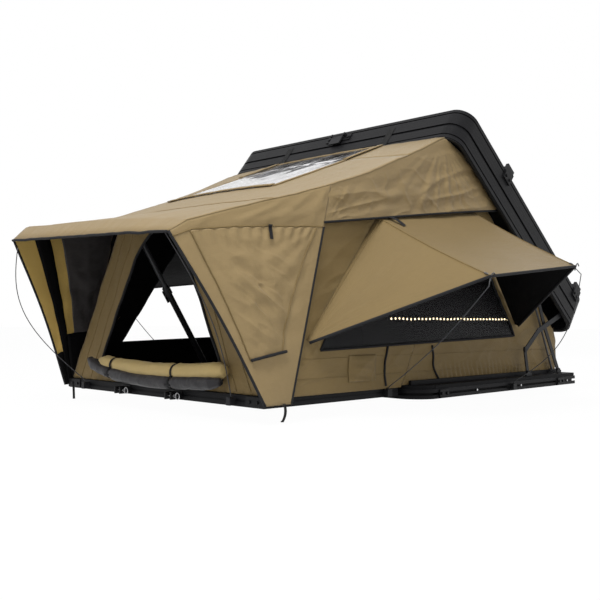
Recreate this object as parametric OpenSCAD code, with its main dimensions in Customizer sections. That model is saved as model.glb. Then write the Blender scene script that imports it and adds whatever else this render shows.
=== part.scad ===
// Hard shell roof top tent with a fold-out annex, standing open.
// X runs along the vehicle from the annex (-X) to the lid linkage (+X), Y across, Z up.
// The origin is the middle of the base rails' underside. Millimetres.

/* [Base] */
// Length of the base frame along X
base_l = 1320; // [1240:10:1400]
// Width of the base frame along Y
base_w = 1450; // [1420:10:1500]
// Height of the base rail
rail_h = 40; // [36:1:50]
// Width of the base rail
rail_w = 40; // [36:1:48]
// Bend radius of the base rail's front corners, at its outer face
corner_r = 110; // [80:5:140]
// Thickness of the floor panels
floor_t = 15; // [10:1:20]
// Height of the tray rim above the floor panel
rim_h = 18; // [14:1:38]
// Thickness of the tray rim
rim_t = 12; // [8:1:14]

/* [Annex] */
// Length of the annex frame along X
annex_l = 735; // [640:5:760]
// Height of the annex frame
annex_h = 40; // [36:1:41]
// Width of the annex rails
annex_rail_w = 36; // [30:1:44]
// Height of the annex hinge axis above the rails' underside
fold_z = 118; // [116:1:119]
// Distance of the annex hinge axis in front of the base
fold_out = 15; // [13:1:16]

/* [Bedding] */
// Thickness of the foam mattress
mattress_t = 40; // [30:1:42]
// Height of the mattress crown
crown_h = 5; // [2:1:6]

/* [Lid] */
// Length of the lid along its slope
lid_l = 1368; // [1350:1:1420]
// Depth of the lid's skirt
lid_depth = 172; // [170:1:182]
// Wall thickness of the lid's frame
lid_wall = 20; // [16:1:20]
// Corner radius of the lid's frame
lid_r = 85; // [60:5:110]
// Thickness of the lid's top skin
skin_t = 8; // [5:1:10]
// Gap between the deck and the closed lid's lower lip
lip_gap = 7; // [6:0.5:9]
// Opening angle of the lid
lid_angle = 38; // [30:1:44]

/* [Lid linkage] */
// Length of the short post links
post_len = 117; // [105:1:125]
// Angle of the post links above +X with the lid open
post_angle = 103; // [98:1:108]
// Length of the lid arms
lid_arm_len = 419; // [400:1:430]
// Angle of the lid arms above +X with the lid open
lid_arm_angle = 25; // [20:1:30]
// Length of the sliding arms
slide_arm_len = 745; // [720:5:760]
// Angle of the sliding arms above +X with the lid open
slide_arm_angle = 117.4; // [115:0.1:120]
// Width of the arms
arm_w = 26; // [20:1:30]
// Thickness of the arms and links
arm_t = 5; // [4:0.5:5]
// Radius of the linkage pins
pin_r = 5; // [4:0.5:6]
// Diameter of the gas strut tubes
strut_d = 22; // [18:1:22]
// Length of the gas struts between eyes with the lid open
strut_len = 815; // [800:1:830]
// Angle of the gas struts above +X with the lid open
strut_angle = 118; // [116:1:120]

/* [Poles and rods] */
// Outer diameter of the lower pole tubes
pole_d = 26; // [22:1:28]
// Distance of each roof pole from the centre line
pole_y = 240; // [180:5:300]
// Length of a pole from its foot pivot to the spreader bar
pole_len = 731; // [700:1:745]
// Angle of the poles above +X
pole_angle = 123.2; // [121:0.1:125]
// Length of the lower pole tubes
pole_low_len = 400; // [370:5:410]
// Diameter of the spring steel awning rods
rod_d = 6; // [4:0.5:8]

/* [Canvas] */
// Thickness of the canvas panels
cloth_t = 3; // [2:0.5:4]
// Height of the awning's front edge
awning_z = 612; // [590:1:640]
// Distance of the awning's front edge in front of the annex
awning_out = 330; // [280:5:360]
// Half the width of the awning's front edge
awning_half = 530; // [480:5:560]
// Depth of the strip that hangs along the awning's front edge
awning_strip = 66; // [50:1:80]
// Height of the strip's fold above the awning's front edge
awning_fold_h = 60; // [40:1:80]
// Half the width of the door opening at its sill
door_half = 400; // [380:5:410]
// Height of the door opening above the annex deck
door_h = 622; // [600:1:630]

/* [Hidden] */
$fn = 48;

// Gap left between pieces on different bodies, and between soft pieces
clear = 0.3;
// Radial clearance of a pin in its bore
fit = 0.05;

// Base places
front_x = -base_l / 2;
rear_x = base_l / 2;
floor_z = rail_h;
deck_z = floor_z + floor_t;
half_w = base_w / 2;
fold_x = front_x - fold_out;
bed_z = deck_z + mattress_t;

// Annex places
annex_in_x = fold_x - 10;
annex_out_x = annex_in_x - annex_l;
annex_z = deck_z - annex_h;

// Layers across the vehicle, as distances from the centre line, from the lid's skirt inwards
lid_in = half_w - lid_wall;
arm_gap = 1;
lid_arm_y = lid_in - 2 - arm_t;
post_y = lid_arm_y - arm_gap / 2 - arm_t;
slide_arm_y = post_y - arm_gap / 2 - arm_t;
strut_y = slide_arm_y - 1 - strut_d / 2;
rim_out = strut_y - strut_d / 2 - 4;
rim_in = rim_out - rim_t;
wall_y = rim_in - 8;
annex_half = wall_y - 5;
annex_w = 2 * annex_half;

// Lid linkage pivots, as [x, z]
post_pivot = [rear_x - 422, deck_z + 14];
elbow = post_pivot + post_len * [cos(post_angle), sin(post_angle)];
lid_pivot = elbow + lid_arm_len * [cos(lid_arm_angle), sin(lid_arm_angle)];
lid_pivot_back = 119.5;
lid_knee = lerp(elbow, lid_pivot, 0.35) + 28 * [cos(lid_arm_angle + 90), sin(lid_arm_angle + 90)];
lid_pivot_z = deck_z + 40;
lip_z = deck_z + lip_gap;
lid_top_z = lip_z + lid_depth;
lid_front_x = rear_x - lid_l;
slide_pivot = [rear_x - 112, deck_z + 15];
slide_tip = slide_pivot + slide_arm_len * [cos(slide_arm_angle), sin(slide_arm_angle)];
slide_knee = lerp(slide_pivot, slide_tip, 0.35) + 20 * [cos(slide_arm_angle + 90), sin(slide_arm_angle + 90)];
strut_pivot = [rear_x - 143, deck_z + 14];
strut_top = strut_pivot + strut_len * [cos(strut_angle), sin(strut_angle)];
strut_tube_len = 430;

// Mounting holes in the rails' lower walls
mount_x = base_l / 2 - 160;
mount_y = half_w - 11;
mount_r = 4.5;

// Bedding and annex hinge places
bed_half = annex_half - annex_rail_w;
hinge_y = annex_half - 14.5;

// Spring rods that hold the window awnings, near side
rod_1_x = fold_x - 90;
rod_2_x = 37;
hook_1 = [-825, -half_w - 425, 470];
hook_2 = [-192, -half_w - 425, 535];

// Crossbars on the lid and ladder brackets on the annex
crossbar_x = [rear_x - 118, rear_x - 960];
ladder_y = [-150, 190];

// Skylight in the roof
sky_half = 325;

// Canvas places
wall_rear_x = rear_x - 42;
lid_lip = lid_point(lid_front_x, lip_z);
roof_rear_x = lid_lip[0] - 5.3;
roof_top_z = lid_lip[1] - 4.7;
seam_x = fold_x - 445;
sky_x0 = seam_x + 30;
sky_x1 = roof_rear_x - 22;
spread_x = fold_x - 295 + pole_len * cos(pole_angle);
foot_x = fold_x - 295;
roof_drop = 9.3;
spread_z = fold_z + pole_len * sin(pole_angle);
awning_x = annex_out_x - awning_out;
side_trim_x = seam_x - 20;
roof_half = wall_y + 36;

function lerp(a, b, t) = a + (b - a) * t;
function bilinear(q, u, v) = lerp(lerp(q[0], q[1], u), lerp(q[3], q[2], u), v);
function unit(v) = v / norm(v);
function patch_normal(q) = unit(cross(q[1] - q[0], q[3] - q[0]));
function flip_y(q) = [for (p = [q[1], q[0], q[3], q[2]]) [p[0], -p[1], p[2]]];
// Height of the roof line above a place along X, from the lid down to the spreader bar
function roof_z(x) = lerp(spread_z + roof_drop, roof_top_z, (x - spread_x) / (roof_rear_x - spread_x));
function place(p, y) = [p[0], y, p[1]];
// Where a point of the closed lid, as [x, z], lies once the lid is open
function lid_point(x, z) = lid_pivot
    + (x + lid_pivot_back - rear_x) * [cos(lid_angle), -sin(lid_angle)]
    + (z - lid_pivot_z) * [sin(lid_angle), cos(lid_angle)];

// A sheet through rows of points, thickened along one direction
module sheet(grid, off) {
    cols = len(grid[0]);
    nu = cols - 1;
    nv = len(grid) - 1;
    front = [for (row = grid) for (p = row) p];
    back = [for (p = front) p - off];
    count = len(front);
    rim = concat([for (i = [0:nu - 1]) i], [for (j = [0:nv - 1]) nu + j * cols],
        [for (i = [nu:-1:1]) nv * cols + i], [for (j = [nv:-1:1]) j * cols]);
    faces = concat(
        [for (j = [0:nv - 1]) for (i = [0:nu - 1])
            [j * cols + i, (j + 1) * cols + i, (j + 1) * cols + i + 1]],
        [for (j = [0:nv - 1]) for (i = [0:nu - 1]) [j * cols + i, (j + 1) * cols + i + 1, j * cols + i + 1]],
        [for (j = [0:nv - 1]) for (i = [0:nu - 1])
            [count + j * cols + i, count + (j + 1) * cols + i + 1, count + (j + 1) * cols + i]],
        [for (j = [0:nv - 1]) for (i = [0:nu - 1])
            [count + j * cols + i, count + j * cols + i + 1, count + (j + 1) * cols + i + 1]],
        [for (k = [0:len(rim) - 1]) [rim[k], rim[(k + 1) % len(rim)], count + rim[(k + 1) % len(rim)]]],
        [for (k = [0:len(rim) - 1]) [rim[k], count + rim[(k + 1) % len(rim)], count + rim[k]]]);
    polyhedron(concat(front, back), faces);
}

// A sheet between four corners, bellied along its normal
module cloth(q, belly = 0, nu = 6, nv = 6, t = cloth_t) {
    n = patch_normal(q);
    sheet([for (j = [0:nv]) [for (i = [0:nu])
        bilinear(q, i / nu, j / nv) + n * belly * sin(180 * i / nu) * sin(180 * j / nv)]], n * t);
}

// A tube of round section swept through points, with flat ends
module swept_tube(points, d, sides = 8) {
    last = len(points) - 1;
    function along(i) = unit(points[min(i + 1, last)] - points[max(i - 1, 0)]);
    function across(i) = unit(cross(along(i), [0, 1, 0.37]));
    ring = [for (i = [0:last]) for (k = [0:sides - 1])
        points[i] + d / 2 * (cos(360 * k / sides) * across(i)
            + sin(360 * k / sides) * cross(along(i), across(i)))];
    faces = concat(
        [[for (k = [0:sides - 1]) sides - 1 - k]],
        [[for (k = [0:sides - 1]) last * sides + k]],
        [for (i = [0:last - 1]) for (k = [0:sides - 1])
            [i * sides + k, i * sides + (k + 1) % sides, (i + 1) * sides + k]],
        [for (i = [0:last - 1]) for (k = [0:sides - 1])
            [i * sides + (k + 1) % sides, (i + 1) * sides + (k + 1) % sides, (i + 1) * sides + k]]);
    polyhedron(ring, [for (f = faces) [for (k = [len(f) - 1:-1:0]) f[k]]]);
}

// Points of a rod that springs out between two ends
function bowed(a, b, bulge, n = 10) = [for (i = [0:n]) lerp(a, b, i / n) + bulge * sin(180 * i / n)];

module both_sides() {
    children();
    mirror([0, 1, 0]) children();
}

// A cylinder along +Y from y0 over a length, through [x, z]
module y_pin(p, y0, l, r) {
    translate([p[0], y0, p[1]]) rotate([-90, 0, 0]) cylinder(h = l, r = r);
}

// An upright plate outline in X and Z, from y0 towards +Y
module y_plate(y0, t) {
    translate([0, y0 + t, 0]) rotate([90, 0, 0]) linear_extrude(t) children();
}

// A flat bar through points of the plane, with a round boss a little wider than the bar at each
module arm2d(points, w) {
    for (p = points) translate(p) circle(w / 2 + 1.5);
    for (i = [0:len(points) - 2]) {
        d = points[i + 1] - points[i];
        translate(points[i]) rotate(atan2(d[1], d[0])) translate([0, -w / 2]) square([norm(d), w]);
    }
}

module rounded_rect(size, r) {
    translate([r, 0]) square([size[0] - 2 * r, size[1]]);
    translate([0, r]) square([size[0], size[1] - 2 * r]);
    for (x = [r, size[0] - r]) for (y = [r, size[1] - r]) translate([x, y]) circle(r);
}

// Moves the lid from its closed place to its open place
module lid_open() {
    translate(place(lid_pivot, 0)) rotate([0, lid_angle, 0])
        translate([lid_pivot_back - rear_x, 0, -lid_pivot_z]) children();
}

// Points of a rounded rectangle, anticlockwise, at one height
function round_ring(x0, x1, y0, y1, r, z, n = 6) = [for (c = [[x1 - r, y1 - r, 0], [x0 + r, y1 - r, 90],
    [x0 + r, y0 + r, 180], [x1 - r, y0 + r, 270]]) for (k = [0:n])
    [c[0] + r * cos(c[2] + 90 * k / n), c[1] + r * sin(c[2] + 90 * k / n), z]];

// A foam slab with drawn-in sides and a crowned top, lofted through rounded rings
module foam_slab(x0, x1, y0, y1, z0, t) {
    steps = [[5, 0], [0, t * 0.2], [0, t * 0.8], [5, t], [70, t + crown_h * 0.6], [180, t + crown_h]];
    rings = [for (s = steps) round_ring(x0 + s[0], x1 - s[0], y0 + s[0], y1 - s[0], 30, z0 + s[1])];
    n = len(rings[0]);
    last = len(rings) - 1;
    points = [for (r = rings) for (p = r) p];
    faces = concat([[for (k = [0:n - 1]) k]], [[for (k = [n - 1:-1:0]) last * n + k]],
        [for (j = [0:last - 1]) for (k = [0:n - 1]) [j * n + k, (j + 1) * n + k, j * n + (k + 1) % n]],
        [for (j = [0:last - 1]) for (k = [0:n - 1])
            [j * n + (k + 1) % n, (j + 1) * n + k, (j + 1) * n + (k + 1) % n]]);
    polyhedron(points, faces);
}

// Section of the base rail: outward is +X, with a T-slot in the outer face
module rail_section() {
    difference() {
        square([rail_w, rail_h]);
        translate([rail_w - 5, rail_h / 2 - 5]) square([6, 10]);
        translate([rail_w - 17, rail_h / 2 - 9]) square([12.5, 18]);
        translate([7, 7]) square([rail_w - 30, rail_h - 14]);
    }
}

module mount_holes() {
    for (x = [-mount_x, mount_x]) for (y = [-mount_y, mount_y])
        translate([x, y, -1]) cylinder(h = rail_h / 2, r = mount_r);
}

module base_perimeter_rail() {
    color("#1c1d1f") difference() {
        union() {
            both_sides() translate([front_x + corner_r, rail_w - half_w, 0]) mirror([0, 1, 0])
                rotate([90, 0, 90]) linear_extrude(base_l - corner_r) rail_section();
            both_sides() translate([front_x + corner_r, corner_r - half_w, 0]) rotate([0, 0, 180])
                rotate_extrude(angle = 90) translate([corner_r - rail_w, 0]) rail_section();
            translate([front_x + rail_w, half_w - corner_r, 0]) mirror([1, 0, 0])
                rotate([90, 0, 0]) linear_extrude(base_w - 2 * corner_r) rail_section();
        }
        mount_holes();
    }
}

module rear_cross_rail() {
    color("#1c1d1f") difference() {
        translate([rear_x - rail_w - 12, rail_w - half_w, 0]) cube([rail_w, base_w - 2 * rail_w, rail_h]);
        translate([rear_x - 18, -half_w, rail_h / 2 - 5]) cube([8, base_w, 10]);
        translate([rear_x - rail_w - 4, -half_w, 8]) cube([rail_w - 20, base_w, rail_h - 16]);
    }
}

module base_floor_panel() {
    color("#3a3b3d") translate([0, 0, floor_z]) linear_extrude(floor_t) {
        translate([front_x + corner_r, 2 - half_w]) square([base_l - corner_r - 8, base_w - 4]);
        translate([front_x + 4, corner_r - half_w]) square([corner_r, base_w - 2 * corner_r]);
        for (y = [corner_r - half_w, half_w - corner_r])
            translate([front_x + corner_r, y]) circle(corner_r - 4);
    }
}

// Outline of the rim's inner or outer face, with its rear corners cut off clear of the lid
module rim_outline(x0, x1, half, cut) {
    polygon([[x0, -half], [x1 - cut, -half], [x1, cut - half],
        [x1, half - cut], [x1 - cut, half], [x0, half]]);
}

module base_rim() {
    color("#222326") translate([0, 0, deck_z]) linear_extrude(rim_h) difference() {
        rim_outline(front_x + 30, wall_rear_x + 5 + rim_t, rim_out, 23);
        rim_outline(front_x + 29, wall_rear_x + 5, rim_in, 13);
    }
}

module main_mattress() {
    color("#3a3a3c") foam_slab(front_x + 25, wall_rear_x - 8, 20 - bed_half, bed_half - 20, deck_z + clear,
        mattress_t);
}

// Upright plates on the deck that carry the annex on its hinge axis
module base_hinge_plates() {
    color("#2b2c2f") both_sides() {
        y_plate(hinge_y, 8) {
            translate([fold_x, fold_z]) circle(10.5);
            polygon([[fold_x - 2, fold_z - 9], [front_x + 10, deck_z + 10], [front_x + 10, deck_z],
                [front_x + 70, deck_z], [front_x + 70, deck_z + 22], [fold_x + 6, fold_z + 7]]);
        }
        translate([front_x + 20, hinge_y - 18, deck_z]) cube([50, 19, 5]);
        y_pin([fold_x, fold_z], hinge_y - 10.5, 11, pin_r);
    }
}

module linkage_brackets() {
    color("#2b2c2f") both_sides() {
        y_plate(lid_arm_y, arm_t) {
            translate(post_pivot) circle(12);
            translate([post_pivot[0] - 26, deck_z]) square([52, 14]);
        }
        translate([post_pivot[0] - 26, lid_arm_y, deck_z]) cube([52, 6.5, 4]);
        y_pin(post_pivot, post_y, arm_t + 1, pin_r);
        y_plate(post_y, arm_t) {
            translate(slide_pivot) circle(12);
            translate([slide_pivot[0] - 20, deck_z]) square([40, 16]);
        }
        translate([slide_pivot[0] - 20, post_y, deck_z]) cube([40, 12, 4]);
        y_pin(slide_pivot, slide_arm_y, arm_t + 1, pin_r);
        y_plate(rim_out, 3) {
            translate(strut_pivot) circle(10);
            translate([strut_pivot[0] - 18, deck_z]) square([36, 14]);
        }
        y_pin(strut_pivot, rim_out + 1, strut_y - rim_out + 4, 4);
    }
}

// Plates bolted to the rails over the mounting holes
module mounting_clamps() {
    color("#9a9c9e") both_sides() for (x = [-mount_x, mount_x]) {
        translate([x - 30, half_w, 6]) cube([60, 7, rail_h - 10]);
        for (dx = [-18, 18]) y_pin([x + dx, rail_h / 2], half_w + 6.5, 6, 6.5);
        translate([x - 34, half_w + 1, 2]) cube([68, 10, 4.5]);
    }
}

module rail_fasteners() {
    color("#b9bbbd") both_sides() for (x = [-0.19 * base_l, 0.09 * base_l, rear_x - 90])
        y_pin([x, rail_h / 2], half_w - 4.8, 9, 4.6);
}

// A block with an upright hole for the foot of a spring rod
module rod_socket(x, y, z) {
    difference() {
        translate([x - 14, y - 10, z]) cube([28, 20, 28]);
        translate([x, y, z + 8]) cylinder(h = 30, r = rod_d / 2 + clear);
    }
}

module rod_sockets() {
    color("#1a1a1b") both_sides() rod_socket(rod_2_x, half_w + 10, 4);
}

// A rod that stands in its socket and springs out to the awning's edge
module spring_rod(foot, tip, bulge) {
    swept_tube(concat([foot], bowed(foot + [0, 0, 26], tip, bulge)), rod_d);
}

module window_rods_front() {
    color("#6f7275") both_sides() spring_rod([rod_1_x, -annex_half - 13, annex_z + 11.5],
        hook_1, [20, -60, -30]);
}

module window_rods_rear() {
    color("#6f7275") both_sides() spring_rod([rod_2_x, -half_w - 10, 12.5], hook_2, [0, -60, -30]);
}

module window_outline() {
    polygon([[-1150, 208], [205, 245], [-190, 775], [-850, 690]]);
}

module main_wall() {
    y_plate(-wall_y - cloth_t, cloth_t) difference() {
        polygon([[fold_x + 3, deck_z + clear], [wall_rear_x - 6, deck_z + clear], [wall_rear_x - 6, 215],
            [wall_rear_x - 18, 262], [roof_rear_x + 50, roof_top_z + 20],
            [roof_rear_x + 26, roof_top_z - 18], [roof_rear_x, roof_top_z - 7],
            [fold_x + 3, roof_z(fold_x + 3) - 5]]);
        window_outline();
    }
}

module main_wall_near() {
    color("#97906c") main_wall();
}

module main_wall_far() {
    color("#97906c") mirror([0, 1, 0]) main_wall();
}

module rear_wall() {
    half = wall_y - 8;
    color("#97906c") cloth([[wall_rear_x, -half, deck_z + clear], [wall_rear_x, half, deck_z + clear],
        [wall_rear_x - 12, half, 255], [wall_rear_x - 12, -half, 255]], 2, 6, 2);
}

// One row of the roof at a place along X, crowned across its width
function roof_row(x, half, z, n = 8) = [for (i = [0:n])
    [x, half * (2 * i / n - 1), z - 12 * pow(2 * i / n - 1, 2)]];

module main_roof() {
    color("#a39b76") sheet([for (x = [fold_x + 3, lerp(fold_x, roof_rear_x, 0.5), roof_rear_x])
        roof_row(x, roof_half, roof_z(x) + 12)], [0, 0, cloth_t]);
}

// Edges of the fly, near side: the valance over the side wall, and the leg down to the annex corner
seam_z = roof_z(seam_x) - cloth_t - 0.6;
valance_quad = [[side_trim_x, -wall_y - 24, 668], [10, -wall_y - 50, 832],
    [roof_rear_x - 6, -wall_y - 32, roof_z(roof_rear_x - 6) - cloth_t - 0.4],
    [seam_x + 4, -wall_y - 30, seam_z]];

module fly_valances() {
    color("#a39b76") {
        cloth(valance_quad, 4);
        cloth(flip_y(valance_quad), 4);
    }
}

hood_y = wall_y + 15;

// Window awning: a hood from the wall to its rod-held outer edge, with side gussets
awning_wall = [[-1225, -hood_y, 244], [-859, -hood_y, 690], [-183, -hood_y, 785], [205, -hood_y, 301]];
awning_edge = [[-1229, -hood_y - 9, 238], hook_1 + [0, 2, 3.9], hook_2 + [0, 2, 3.9],
    [209, -hood_y - 9, 295]];
function along4(q, u) = u < 1 / 3 ? lerp(q[0], q[1], 3 * u) : u < 2 / 3 ? lerp(q[1], q[2], 3 * u - 1) :
    lerp(q[2], q[3], 3 * u - 2);

module window_hood() {
    sheet([for (j = [0:4]) [for (i = [0:12])
        lerp(along4(awning_edge, i / 12), along4(awning_wall, i / 12), j / 4)
            - [0, 0, 22 * sin(180 * j / 4) * sin(180 * i / 12)]]], [0, 0.6, -0.8] * -cloth_t);
}

module window_awning_near() {
    color("#97906c") window_hood();
}

module window_awning_far() {
    color("#97906c") mirror([0, 1, 0]) window_hood();
}

// The insect mesh of the -Y side; the other side's is open
module window_mesh() {
    color("#1b1b1b") mirror([0, 1, 0]) y_plate(wall_y - 1.8, 1.5)
        offset(delta = 12) window_outline();
}

module skylight_pane() {
    color([0.75, 0.8, 0.85, 0.5]) sheet([for (x = [sky_x0, fold_x, sky_x1])
        [for (y = [-sky_half, 0, sky_half])
            [x, y, roof_z(x) + 12 + cloth_t - 12 * pow(y / roof_half, 2)]]], [0, 0, 1.5]);
}

module led_strip() {
    color("#e8d9b0") translate([-740, 1.8 + clear - wall_y, 318]) cube([930, 4, 12]);
}

// Outline of the lid in its closed place, drawn in from its outer face
module lid_outline(inset) {
    translate([lid_front_x + inset, inset - half_w])
        rounded_rect([lid_l - 2 * inset, base_w - 2 * inset], lid_r - inset);
}

// The lid's frame is a ring of grooved extrusion, built up in level slices
module lid_frame() {
    levels = [[0, 0.1, 0], [0.1, 0.14, 4], [0.14, 0.42, 0], [0.42, 0.5, 6], [0.5, 0.86, 0], [0.86, 0.9, 4],
        [0.9, 1, 0]];
    color("#1c1d1f") lid_open() for (s = levels) translate([0, 0, lip_z + s[0] * lid_depth])
        linear_extrude((s[1] - s[0]) * lid_depth) difference() {
            lid_outline(s[2]);
            lid_outline(lid_wall);
        }
}

module lid_skin() {
    color("#2a2b2d") lid_open() translate([0, 0, lid_top_z - skin_t]) linear_extrude(skin_t)
        lid_outline(lid_wall);
}

module lid_seal() {
    color("#141414") lid_open() translate([0, 0, lip_z - 4]) linear_extrude(4) difference() {
        lid_outline(4);
        lid_outline(lid_wall - 5);
    }
}

module lid_crossbars() {
    color("#222326") lid_open() for (x = crossbar_x) difference() {
        translate([x - 20, 12 - half_w, lid_top_z + 10]) cube([40, base_w - 24, 26]);
        translate([x - 5, -half_w, lid_top_z + 30]) cube([10, base_w, 8]);
        translate([x - 9, -half_w, lid_top_z + 22]) cube([18, base_w, 8.5]);
    }
}

module crossbar_brackets() {
    color("#17181a") lid_open() both_sides() for (x = crossbar_x) {
        translate([x - 30, half_w - 52, lid_top_z]) cube([60, 52, 10]);
        translate([x - 30, half_w - 12, lid_top_z]) cube([60, 14, 40]);
        translate([x - 30, half_w, lid_top_z - 44]) cube([60, 8, 60]);
        for (dx = [-16, 16]) y_pin([x + dx, lid_top_z - 24], half_w + 7.5, 6, 7);
    }
}

module lid_pivot_brackets() {
    color("#2b2c2f") both_sides() {
        y_pin(lid_pivot, lid_in - 1.2, 1.2, 18);
        y_pin(lid_pivot, lid_arm_y - 0.5, arm_t + 2, pin_r);
        y_pin(strut_top, strut_y + 5 + clear, lid_in - strut_y - 5 - clear, 5);
        y_pin(strut_top, lid_in - 10, 10, 12);
    }
}

module lid_latch_plate() {
    color("#1a1a1b") lid_open() difference() {
        union() {
            translate([lid_front_x - 5, -75, lid_top_z - 66]) cube([5, 150, 40]);
            for (y = [-62, 62]) translate([lid_front_x - 4.5, y, lid_top_z - 46]) rotate([0, -90, 0])
                cylinder(h = 5.5, r = 8);
            for (y = [-44, 36]) translate([lid_front_x - 22, y, lid_top_z - 44]) cube([18, 8, 16]);
        }
        translate([lid_front_x - 14, -60, lid_top_z - 36]) rotate([-90, 0, 0]) cylinder(h = 120, r = 3 + fit);
    }
}

module lid_latch_lever() {
    color("#8c8e90") lid_open() {
        translate([lid_front_x - 14, -46, lid_top_z - 36]) rotate([-90, 0, 0]) cylinder(h = 92, r = 3);
        translate([lid_front_x - 17, -34, lid_top_z - 96]) cube([7, 68, 62]);
        translate([lid_front_x - 14, -35, lid_top_z - 36]) rotate([-90, 0, 0]) cylinder(h = 70, r = 6);
    }
}

// Tie straps looped round the lid's front rail
module lid_straps() {
    color("#101010") lid_open() for (y = [-330, 330]) difference() {
        translate([lid_front_x - 2.3, y - 19, lip_z - 6.3]) cube([lid_wall + 4.6, 38, lid_depth + 8.6]);
        translate([lid_front_x - clear, y - 20, lip_z - 4.3])
            cube([lid_wall + 2 * clear, 40, lid_depth + 4.6]);
        translate([lid_front_x + lid_wall - 1, y - 20, lid_top_z - skin_t - clear]) cube([6, 40, skin_t + 8]);
    }
}

module post_links() {
    color("#2b2c2f") both_sides() {
        difference() {
            y_plate(post_y, arm_t) arm2d([post_pivot, elbow], arm_w - 4);
            y_pin(post_pivot, post_y - 2, arm_t + 4, pin_r + fit);
        }
        y_pin(elbow, post_y, 2 * arm_t + 2, pin_r);
    }
}

module lid_arms() {
    color("#2b2c2f") both_sides() difference() {
        y_plate(lid_arm_y, arm_t) arm2d([elbow, lid_knee, lid_pivot], arm_w - 2);
        y_pin(elbow, lid_arm_y - 1, arm_t + 2, pin_r + fit);
        y_pin(lid_pivot, lid_arm_y - 1, arm_t + 2, pin_r + fit);
    }
}

// Long arms whose rollers run along the inside of the lid's skirt
module slide_arms() {
    color("#2b2c2f") both_sides() {
        difference() {
            y_plate(slide_arm_y, arm_t) arm2d([slide_pivot, slide_knee, slide_tip], arm_w - 2);
            y_pin(slide_pivot, slide_arm_y - 1, arm_t + 2, pin_r + fit);
        }
        y_pin(slide_tip, slide_arm_y + 1, lid_in - slide_arm_y - 1 - clear, 12);
    }
}

// Places a piece drawn along +Z on a strut's line
module on_strut() {
    both_sides() translate(place(strut_pivot, strut_y)) rotate([0, 90 - strut_angle, 0]) children();
}

module strut_rods() {
    color("#c9cbcd") on_strut() difference() {
        union() {
            cylinder(h = strut_len - strut_tube_len + 45, r = 5);
            translate([0, -4, 0]) rotate([-90, 0, 0]) cylinder(h = 8, r = 9);
        }
        translate([0, -5, 0]) rotate([-90, 0, 0]) cylinder(h = 10, r = 4 + fit);
    }
}

module strut_tubes() {
    color("#161617") on_strut() {
        difference() {
            translate([0, 0, strut_len - strut_tube_len]) cylinder(h = strut_tube_len - 14, r = strut_d / 2);
            translate([0, 0, strut_len - strut_tube_len - 1]) cylinder(h = 290, r = 5 + fit);
        }
        translate([0, -5, strut_len]) rotate([-90, 0, 0]) cylinder(h = 10, r = 11);
        translate([-8, -5, strut_len - 16]) cube([16, 10, 12]);
    }
}

module annex_frame() {
    color("#1c1d1f") difference() {
        union() {
            translate([annex_out_x, -annex_half, annex_z]) cube([annex_l, annex_w, annex_h]);
            both_sides() translate([annex_out_x + 90, annex_half - 1, deck_z - 8])
                cube([annex_l - 200, wall_y - annex_half + 1 - clear, 6]);
        }
        translate([annex_out_x + annex_rail_w, annex_rail_w - annex_half, annex_z - 1])
            cube([annex_l - 2 * annex_rail_w, annex_w - 2 * annex_rail_w, annex_h + 2]);
        both_sides() translate([annex_out_x - 1, annex_half - 3, annex_z + 16]) cube([annex_l + 2, 4, 8]);
        translate([annex_out_x - 1, -annex_half - 1, annex_z + 16]) cube([4, annex_w + 2, 8]);
    }
}

module annex_floor_panel() {
    color("#3a3b3d") translate([annex_out_x + annex_rail_w, annex_rail_w - annex_half, deck_z - floor_t])
        cube([annex_l - 2 * annex_rail_w, annex_w - 2 * annex_rail_w, floor_t]);
}

module annex_mattress() {
    color("#3a3a3c") difference() {
        foam_slab(annex_out_x + annex_rail_w + 6, annex_in_x - 30, 10 - bed_half, bed_half - 10,
            deck_z + clear,
            mattress_t);
        both_sides() translate([foot_x - 32, pole_y - 28, 0]) cube([64, 56, 200]);
    }
}

module annex_hinge_plates() {
    color("#2b2c2f") both_sides() difference() {
        y_plate(hinge_y - 8.5, 8) {
            translate([annex_in_x, annex_z + 4]) square([20, fold_z - annex_z - 4]);
            translate([fold_x, fold_z]) circle(10);
        }
        y_pin([fold_x, fold_z], hinge_y - 12, 14, pin_r + fit);
    }
}

module corner_brackets() {
    color("#26272a") both_sides() {
        translate([annex_out_x - 4, annex_half - 90, annex_z + 2]) cube([4, 94, annex_h - 4]);
        translate([annex_out_x - 4, annex_half, annex_z + 2]) cube([74, 4, annex_h - 4]);
        for (y = [annex_half - 70, annex_half - 30]) translate([annex_out_x - 3.5, y, annex_z + annex_h / 2])
            rotate([0, -90, 0]) cylinder(h = 5, r = 6);
        rod_socket(rod_1_x, annex_half + 13, annex_z + 3);
        translate([rod_1_x - 14, annex_half, annex_z + 6]) cube([28, 3.5, 20]);
        rod_socket(annex_out_x - 14, 480, annex_z + 3);
    }
}

module ladder_brackets() {
    color("#26272a") for (y = ladder_y) difference() {
        union() {
            translate([annex_out_x - 4, y - 32, annex_z + 2]) cube([4, 64, annex_h - 6]);
            for (dy = [-20, 14]) translate([annex_out_x - 44, y + dy, annex_z + 2])
                cube([41, 6, annex_h - 12]);
        }
        translate([annex_out_x - 30, y - 40, annex_z + 16]) rotate([-90, 0, 0]) cylinder(h = 80, r = 4 + fit);
    }
}

// A pull pin through a ladder bracket, with its ring
module ladder_pin(y) {
    translate([annex_out_x - 30, y - 26, annex_z + 16]) rotate([-90, 0, 0]) cylinder(h = 50, r = 4);
    translate([annex_out_x - 30, y - 32, annex_z + 16]) rotate([-90, 0, 0]) cylinder(h = 6.5, r = 7);
    translate([annex_out_x - 30, y - 43, annex_z + 16]) rotate([90, 0, 90])
        rotate_extrude() translate([12, 0]) circle(1.8, $fn = 16);
}

module ladder_pin_near() {
    color("#c2c4c6") ladder_pin(ladder_y[0]);
}

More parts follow.
